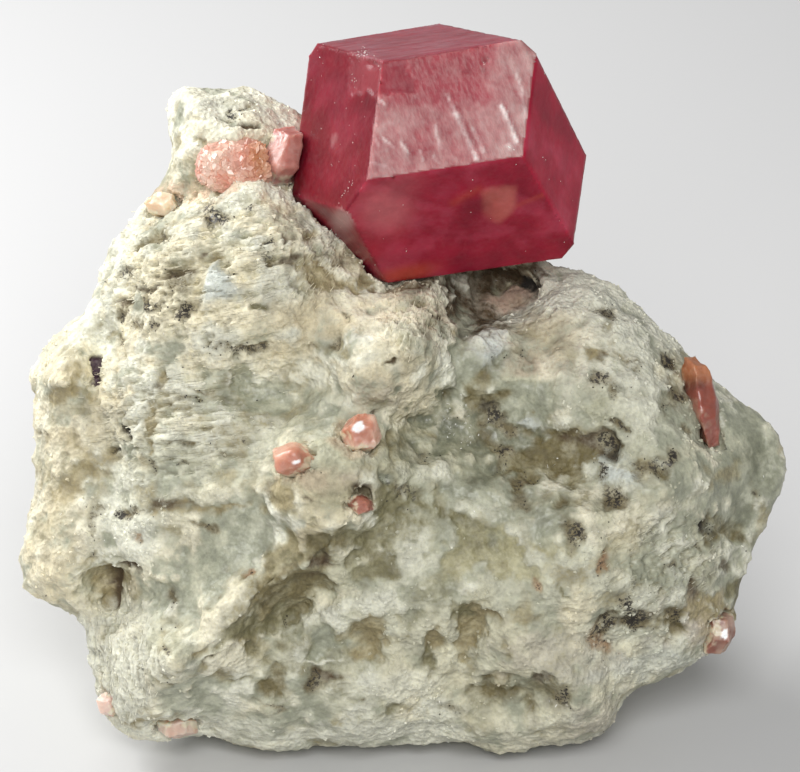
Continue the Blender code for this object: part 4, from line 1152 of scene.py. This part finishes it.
    # painted shading, one level for each seen face
    for i, level in enumerate(garnet["paintedFaceShading"]):
        colour *= 1 + (level - 1) * on[i][:, None]
    storeColour(mesh, "tint", colour)
    store(mesh, "frost", np.clip(etched * (0.9 - 0.6 * layer) + 0.35 * top + 0.08 + 0.04 * left, 0, 1))
    # etching runs down the front face, and level along the top
    level = np.stack([x / 1.6, points[:, 1] / 0.4, z / 0.12], axis=1)
    down = np.stack([(x * 0.95 + z * 0.31) / 0.20, points[:, 1] / 0.5, (z * 0.95 - x * 0.31) / 0.55], axis=1)
    store(mesh, "run", np.where(top[:, None] > 0, level, np.where(etched[:, None] > 0, down, points / 0.3)))
    sparks = anyOf(x, z, sparkPatches) * (points[:, 1] < -4)
    dusty = 0.010 * left + 0.008 * lower + 0.004 * right + 0.006 * sliver
    store(mesh, "sparkShare", sparks + dusty)
    mesh.shade_smooth()
    return piece


# Small crystals

smallCrystals = {
    "salmon_garnet": ("#c48e82", "#a8655c"),
    "spur_garnet": ("#dcc8ae", "#cdb394"),
    "shelf_garnet": ("#dcb8a4", "#bd8068"),
    "lobe_garnet": ("#d4a48c", "#b87a62"),
    "pocket_garnet": ("#a06450", "#7e4534"),
    "corner_garnet": ("#b29482", "#8a5848"),
    "left_foot_garnet": ("#e0c4b6", "#d0a596"),
    "foot_garnet": ("#cdb6a6", "#be9c8a"),
    "crevice_garnet": ("#965040", "#6f2f22"),
}
small = {
    "bevelShare": 0.03,  # of the crystal's span
    "cells": 60,  # across the span
    "lumps": (0.30, 0.035),  # size and height, as shares of the span
    "dents": (0.08, 0.008),
    "clingReach": 0.9,  # mm that the pale rock climbs up their feet
    "creviceTop": "#bd7c50",
}

# Facets that flash white: place, radii, turn, sharpness.
facetGlints = [
    ((-2.4, -2.4), (0.44, 0.30), 35, 4.0), ((-6.0, -4.4), (0.26, 0.12), 15, 4.0),
    ((19.4, -14.8), (0.20, 0.32), -10, 4.0),
]

crust = {"pale": "#f3cdb8", "deep": "#dc9a84", "rusty": "#c07c3c", "right": "#f0c9b2"}


def smallCrystal(nodeName):
    piece = weldedCopy(nodeName, nodeName.replace("_", " ").title().replace(" ", ""))
    low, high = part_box(nodeName)
    span = (high - low).length
    bevel = piece.modifiers.new("worn edges", "BEVEL")
    bevel.width = span * small["bevelShare"]
    bevel.segments = 2
    remesh = piece.modifiers.new("fine cells", "REMESH")
    remesh.mode = "VOXEL"
    remesh.voxel_size = span / small["cells"]
    mesh = applied(piece)
    points, normals = toUpright(readPoints(mesh)), readNormals(mesh) @ leanBack
    size = span / mm
    height = small["lumps"][1] * size * cloud(points, size * small["lumps"][0], 3, 70.0)
    height += small["dents"][1] * size * cloud(points, size * small["dents"][0], 2, 80.0)
    setPoints(mesh, toFrame(points + normals * height[:, None]))
    light, dark = (linear(c) for c in smallCrystals[nodeName])
    colour = blend(np.tile(light, (len(points), 1)), dark,
        ramp(cloud(points, size * 0.4, 3, 90.0), -0.3, 0.4))
    if nodeName == "crevice_garnet":  # paler and yellower at its upper end
        colour = blend(colour, linear(small["creviceTop"]), ramp(points[:, 2], -0.2, 0.8) * 0.8)
    # the pale rock clings round its foot
    reach = small["clingReach"] * mm
    foot = [rockTree.find_nearest(place, reach)[3] for place in toFrame(points).tolist()]
    foot = np.array([0.0 if distance is None else 1 - distance / reach for distance in foot])
    clinging = ramp(foot + 0.7 * cloud(points, 0.6, 4, 75.0), 0.45, 0.85)
    colour = blend(colour, palette["cream"][0] * 0.85,
        clinging * (0.2 if nodeName == "crevice_garnet" else 0.7))
    uneven = 0.12 * cloud(points, 0.25, 3, 85.0)
    flash = anyOf(points[:, 0] + uneven, points[:, 2] + uneven, facetGlints)
    colour = blend(colour, linear("#ffffff"), flash)
    storeColour(mesh, "tint", colour)
    store(mesh, "run", points / 0.3)
    store(mesh, "frost", 0.25 + ramp(cloud(points, size * 0.3, 2, 95.0), -0.2, 0.4) * 0.6)
    mesh.shade_smooth()
    return piece


def crustBase():
    piece = weldedCopy("pink_garnet_crust", "crustBase")
    mesh = piece.data
    points = toUpright(readPoints(mesh))
    colour = np.tile(linear(crust["pale"]), (len(points), 1))
    layers = [
        ("deep", ramp(cloud(points, 0.9, 3, 15.0), -0.3, 0.3)),
        ("rusty", patch(points[:, 0], points[:, 2], (-8.2, 13.4), (0.7, 1.2), 0, 2.0) * 0.8),
        ("right", ramp(points[:, 0], -8.4, -7.4) * 0.8),
    ]
    for tone, share in layers:
        colour = blend(colour, linear(crust[tone]), share)
    storeColour(mesh, "tint", colour)
    store(mesh, "run", points / 0.3)
    store(mesh, "frost", np.full(len(points), 0.3))
    store(mesh, "crowd", ramp(-points[:, 1], 3.4, 4.6))
    mesh.shade_smooth()
    return piece


# Build everything

rockPiece = shapeRock(rockMesh())
print("rock shaped:", len(rockPiece.data.polygons), "faces")
finishWith(rockPiece, rockFinish())

grains = {"share": "grainShare", "perSquareMm": 9.0, "smallest": (0.07, 0.07, 0.07),
    "largest": (0.24, 0.24, 0.20), "sink": -0.02, "seed": 3}
blades = {"share": "strandShare", "perSquareMm": 6.0, "smallest": (0.25, 0.05, 0.04),
    "largest": (0.65, 0.10, 0.07), "sink": 0.0, "seed": 5}
specks = {"share": "speckShare", "perSquareMm": 12.0, "smallest": (0.04, 0.04, 0.03),
    "largest": (0.13, 0.10, 0.08), "sink": 0.0, "seed": 7}
glints = {"share": "glintShare", "perSquareMm": 4.0, "smallest": (0.03, 0.03, 0.03),
    "largest": (0.28, 0.12, 0.06), "sink": 0.02, "seed": 9}
crowd = {"share": "crowd", "perSquareMm": 26.0, "smallest": (0.22, 0.22, 0.22),
    "largest": (0.65, 0.65, 0.65), "sink": -0.02, "seed": 11}
sparks = {"share": "sparkShare", "perSquareMm": 24.0, "smallest": (0.05, 0.05, 0.02),
    "largest": (0.13, 0.10, 0.04), "sink": 0.0, "seed": 13}

looseFinish = grainFinish()
grainPiece = scatter("rockGrains", rockPiece, grainShape(), looseFinish, grains)
bladePiece = scatter("rockBlades", rockPiece, bladeShape(), looseFinish, blades, aligned=True)
speckPiece = scatter("darkSpecks", rockPiece, bpy.data.objects["grainShape"],
    plainFinish("black iron and manganese oxide, earthy", "#2f2a22", 0.7), specks)
flakeFinish = plainFinish("calcite cleavage flakes", "#f0efe6", 0.08, 1.6)
glintPiece = scatter("clearGlints", rockPiece, plateShape(), flakeFinish, glints)

redFinish = garnetFinish("raspberry grossular, natural faces", (1.0, 0.16, 0.16), 0.35, 0.07, 0.09)
pinkFinish = garnetFinish("pink grossular, natural faces", (1.0, 0.75, 0.65), 0.8, 0.06, 0.4)
crustFinish = garnetFinish("pink grossular, crust of small crystals", (1.0, 0.75, 0.65), 0.15, 0.03, 0.6)
crystalPiece = bigCrystal()
finishWith(crystalPiece, redFinish)
print("big crystal:", len(crystalPiece.data.polygons), "faces")
sparkPiece = scatter("crystalSparks", crystalPiece, bpy.data.objects["plateShape"], flakeFinish, sparks)

rockTree = BVHTree.FromObject(rockPiece, bpy.context.evaluated_depsgraph_get())
smallPieces = {}
for nodeName in smallCrystals:
    smallPieces[nodeName] = smallCrystal(nodeName)
    finishWith(smallPieces[nodeName], pinkFinish)
crustPiece = scatter("pinkCrust", crustBase(), dodecahedronShape(), crustFinish, crowd, keepBase=True)
for helper in ("crustBase", "grainShape", "bladeShape", "plateShape", "dodecahedronShape"):
    bpy.data.objects.remove(bpy.data.objects[helper])

# Frame

for piece in (rockPiece, grainPiece, bladePiece, speckPiece, glintPiece):
    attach(piece, "root")
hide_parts("matrix")
for piece in (crystalPiece, sparkPiece):
    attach(piece, "root")
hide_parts("main_garnet")
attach(crustPiece, "root")
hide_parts("pink_garnet_crust")
for nodeName, piece in smallPieces.items():
    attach(piece, "root")
    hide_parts(nodeName)

# Studio

studio = {
    "floorSize": 3.0,
    "floorColour": "#c8c8c8",
    "lens": 300.0,
    "distance": 0.4,  # metres from the middle of the face
    "key": ((-0.12, 0.07, 0.12), 0.11, 0.36),
    "front": ((0.0, -0.38, 0.36), 0.24, 1.72),
    "skyStrength": 0.32,
}


def areaLight(name, place, size, power):
    lamp = bpy.data.lights.new(name, "AREA")
    lamp.size = size
    lamp.energy = power
    made = newObject(name, lamp)
    made.location = place
    made.rotation_mode = "QUATERNION"
    made.rotation_quaternion = (Vector(origin) - Vector(place)).to_track_quat("-Z", "Y")
    return made


def floorPiece():
    form = bmesh.new()
    bmesh.ops.create_grid(form, x_segments=1, y_segments=1, size=studio["floorSize"] / 2)
    mesh = bpy.data.meshes.new("floor")
    form.to_mesh(mesh)
    form.free()
    made = newObject("floor", mesh)
    finish = newMaterial("matt white card")
    tree = finish.node_tree
    shader = addNode(tree, "ShaderNodeBsdfPrincipled",
        {"Base Color": (*linear(studio["floorColour"]), 1), "Roughness": 0.9})
    addNode(tree, "ShaderNodeOutputMaterial", {"Surface": shader.outputs[0]})
    mesh.materials.append(finish)
    return made


floorPiece()
areaLight("key light", *studio["key"])
areaLight("front light", *studio["front"])
world = bpy.data.worlds.new("studio")
bpy.context.scene.world = world
world.use_nodes = True
world.node_tree.nodes["Background"].inputs["Color"].default_value = (1, 1, 1, 1)
world.node_tree.nodes["Background"].inputs["Strength"].default_value = studio["skyStrength"]
bpy.context.scene.view_settings.view_transform = "Standard"

towardsCamera = Vector((0, -math.cos(pose["lean"]), math.sin(pose["lean"])))
camera = newObject("camera", bpy.data.cameras.new("camera"))
camera.data.sensor_width = 36
camera.data.lens = studio["lens"]
camera.data.clip_start = 0.01
camera.location = Vector(origin) + towardsCamera * studio["distance"]
camera.rotation_mode = "QUATERNION"
camera.rotation_quaternion = (-towardsCamera).to_track_quat("-Z", "Y")
bpy.context.scene.camera = camera
print("studio ready")
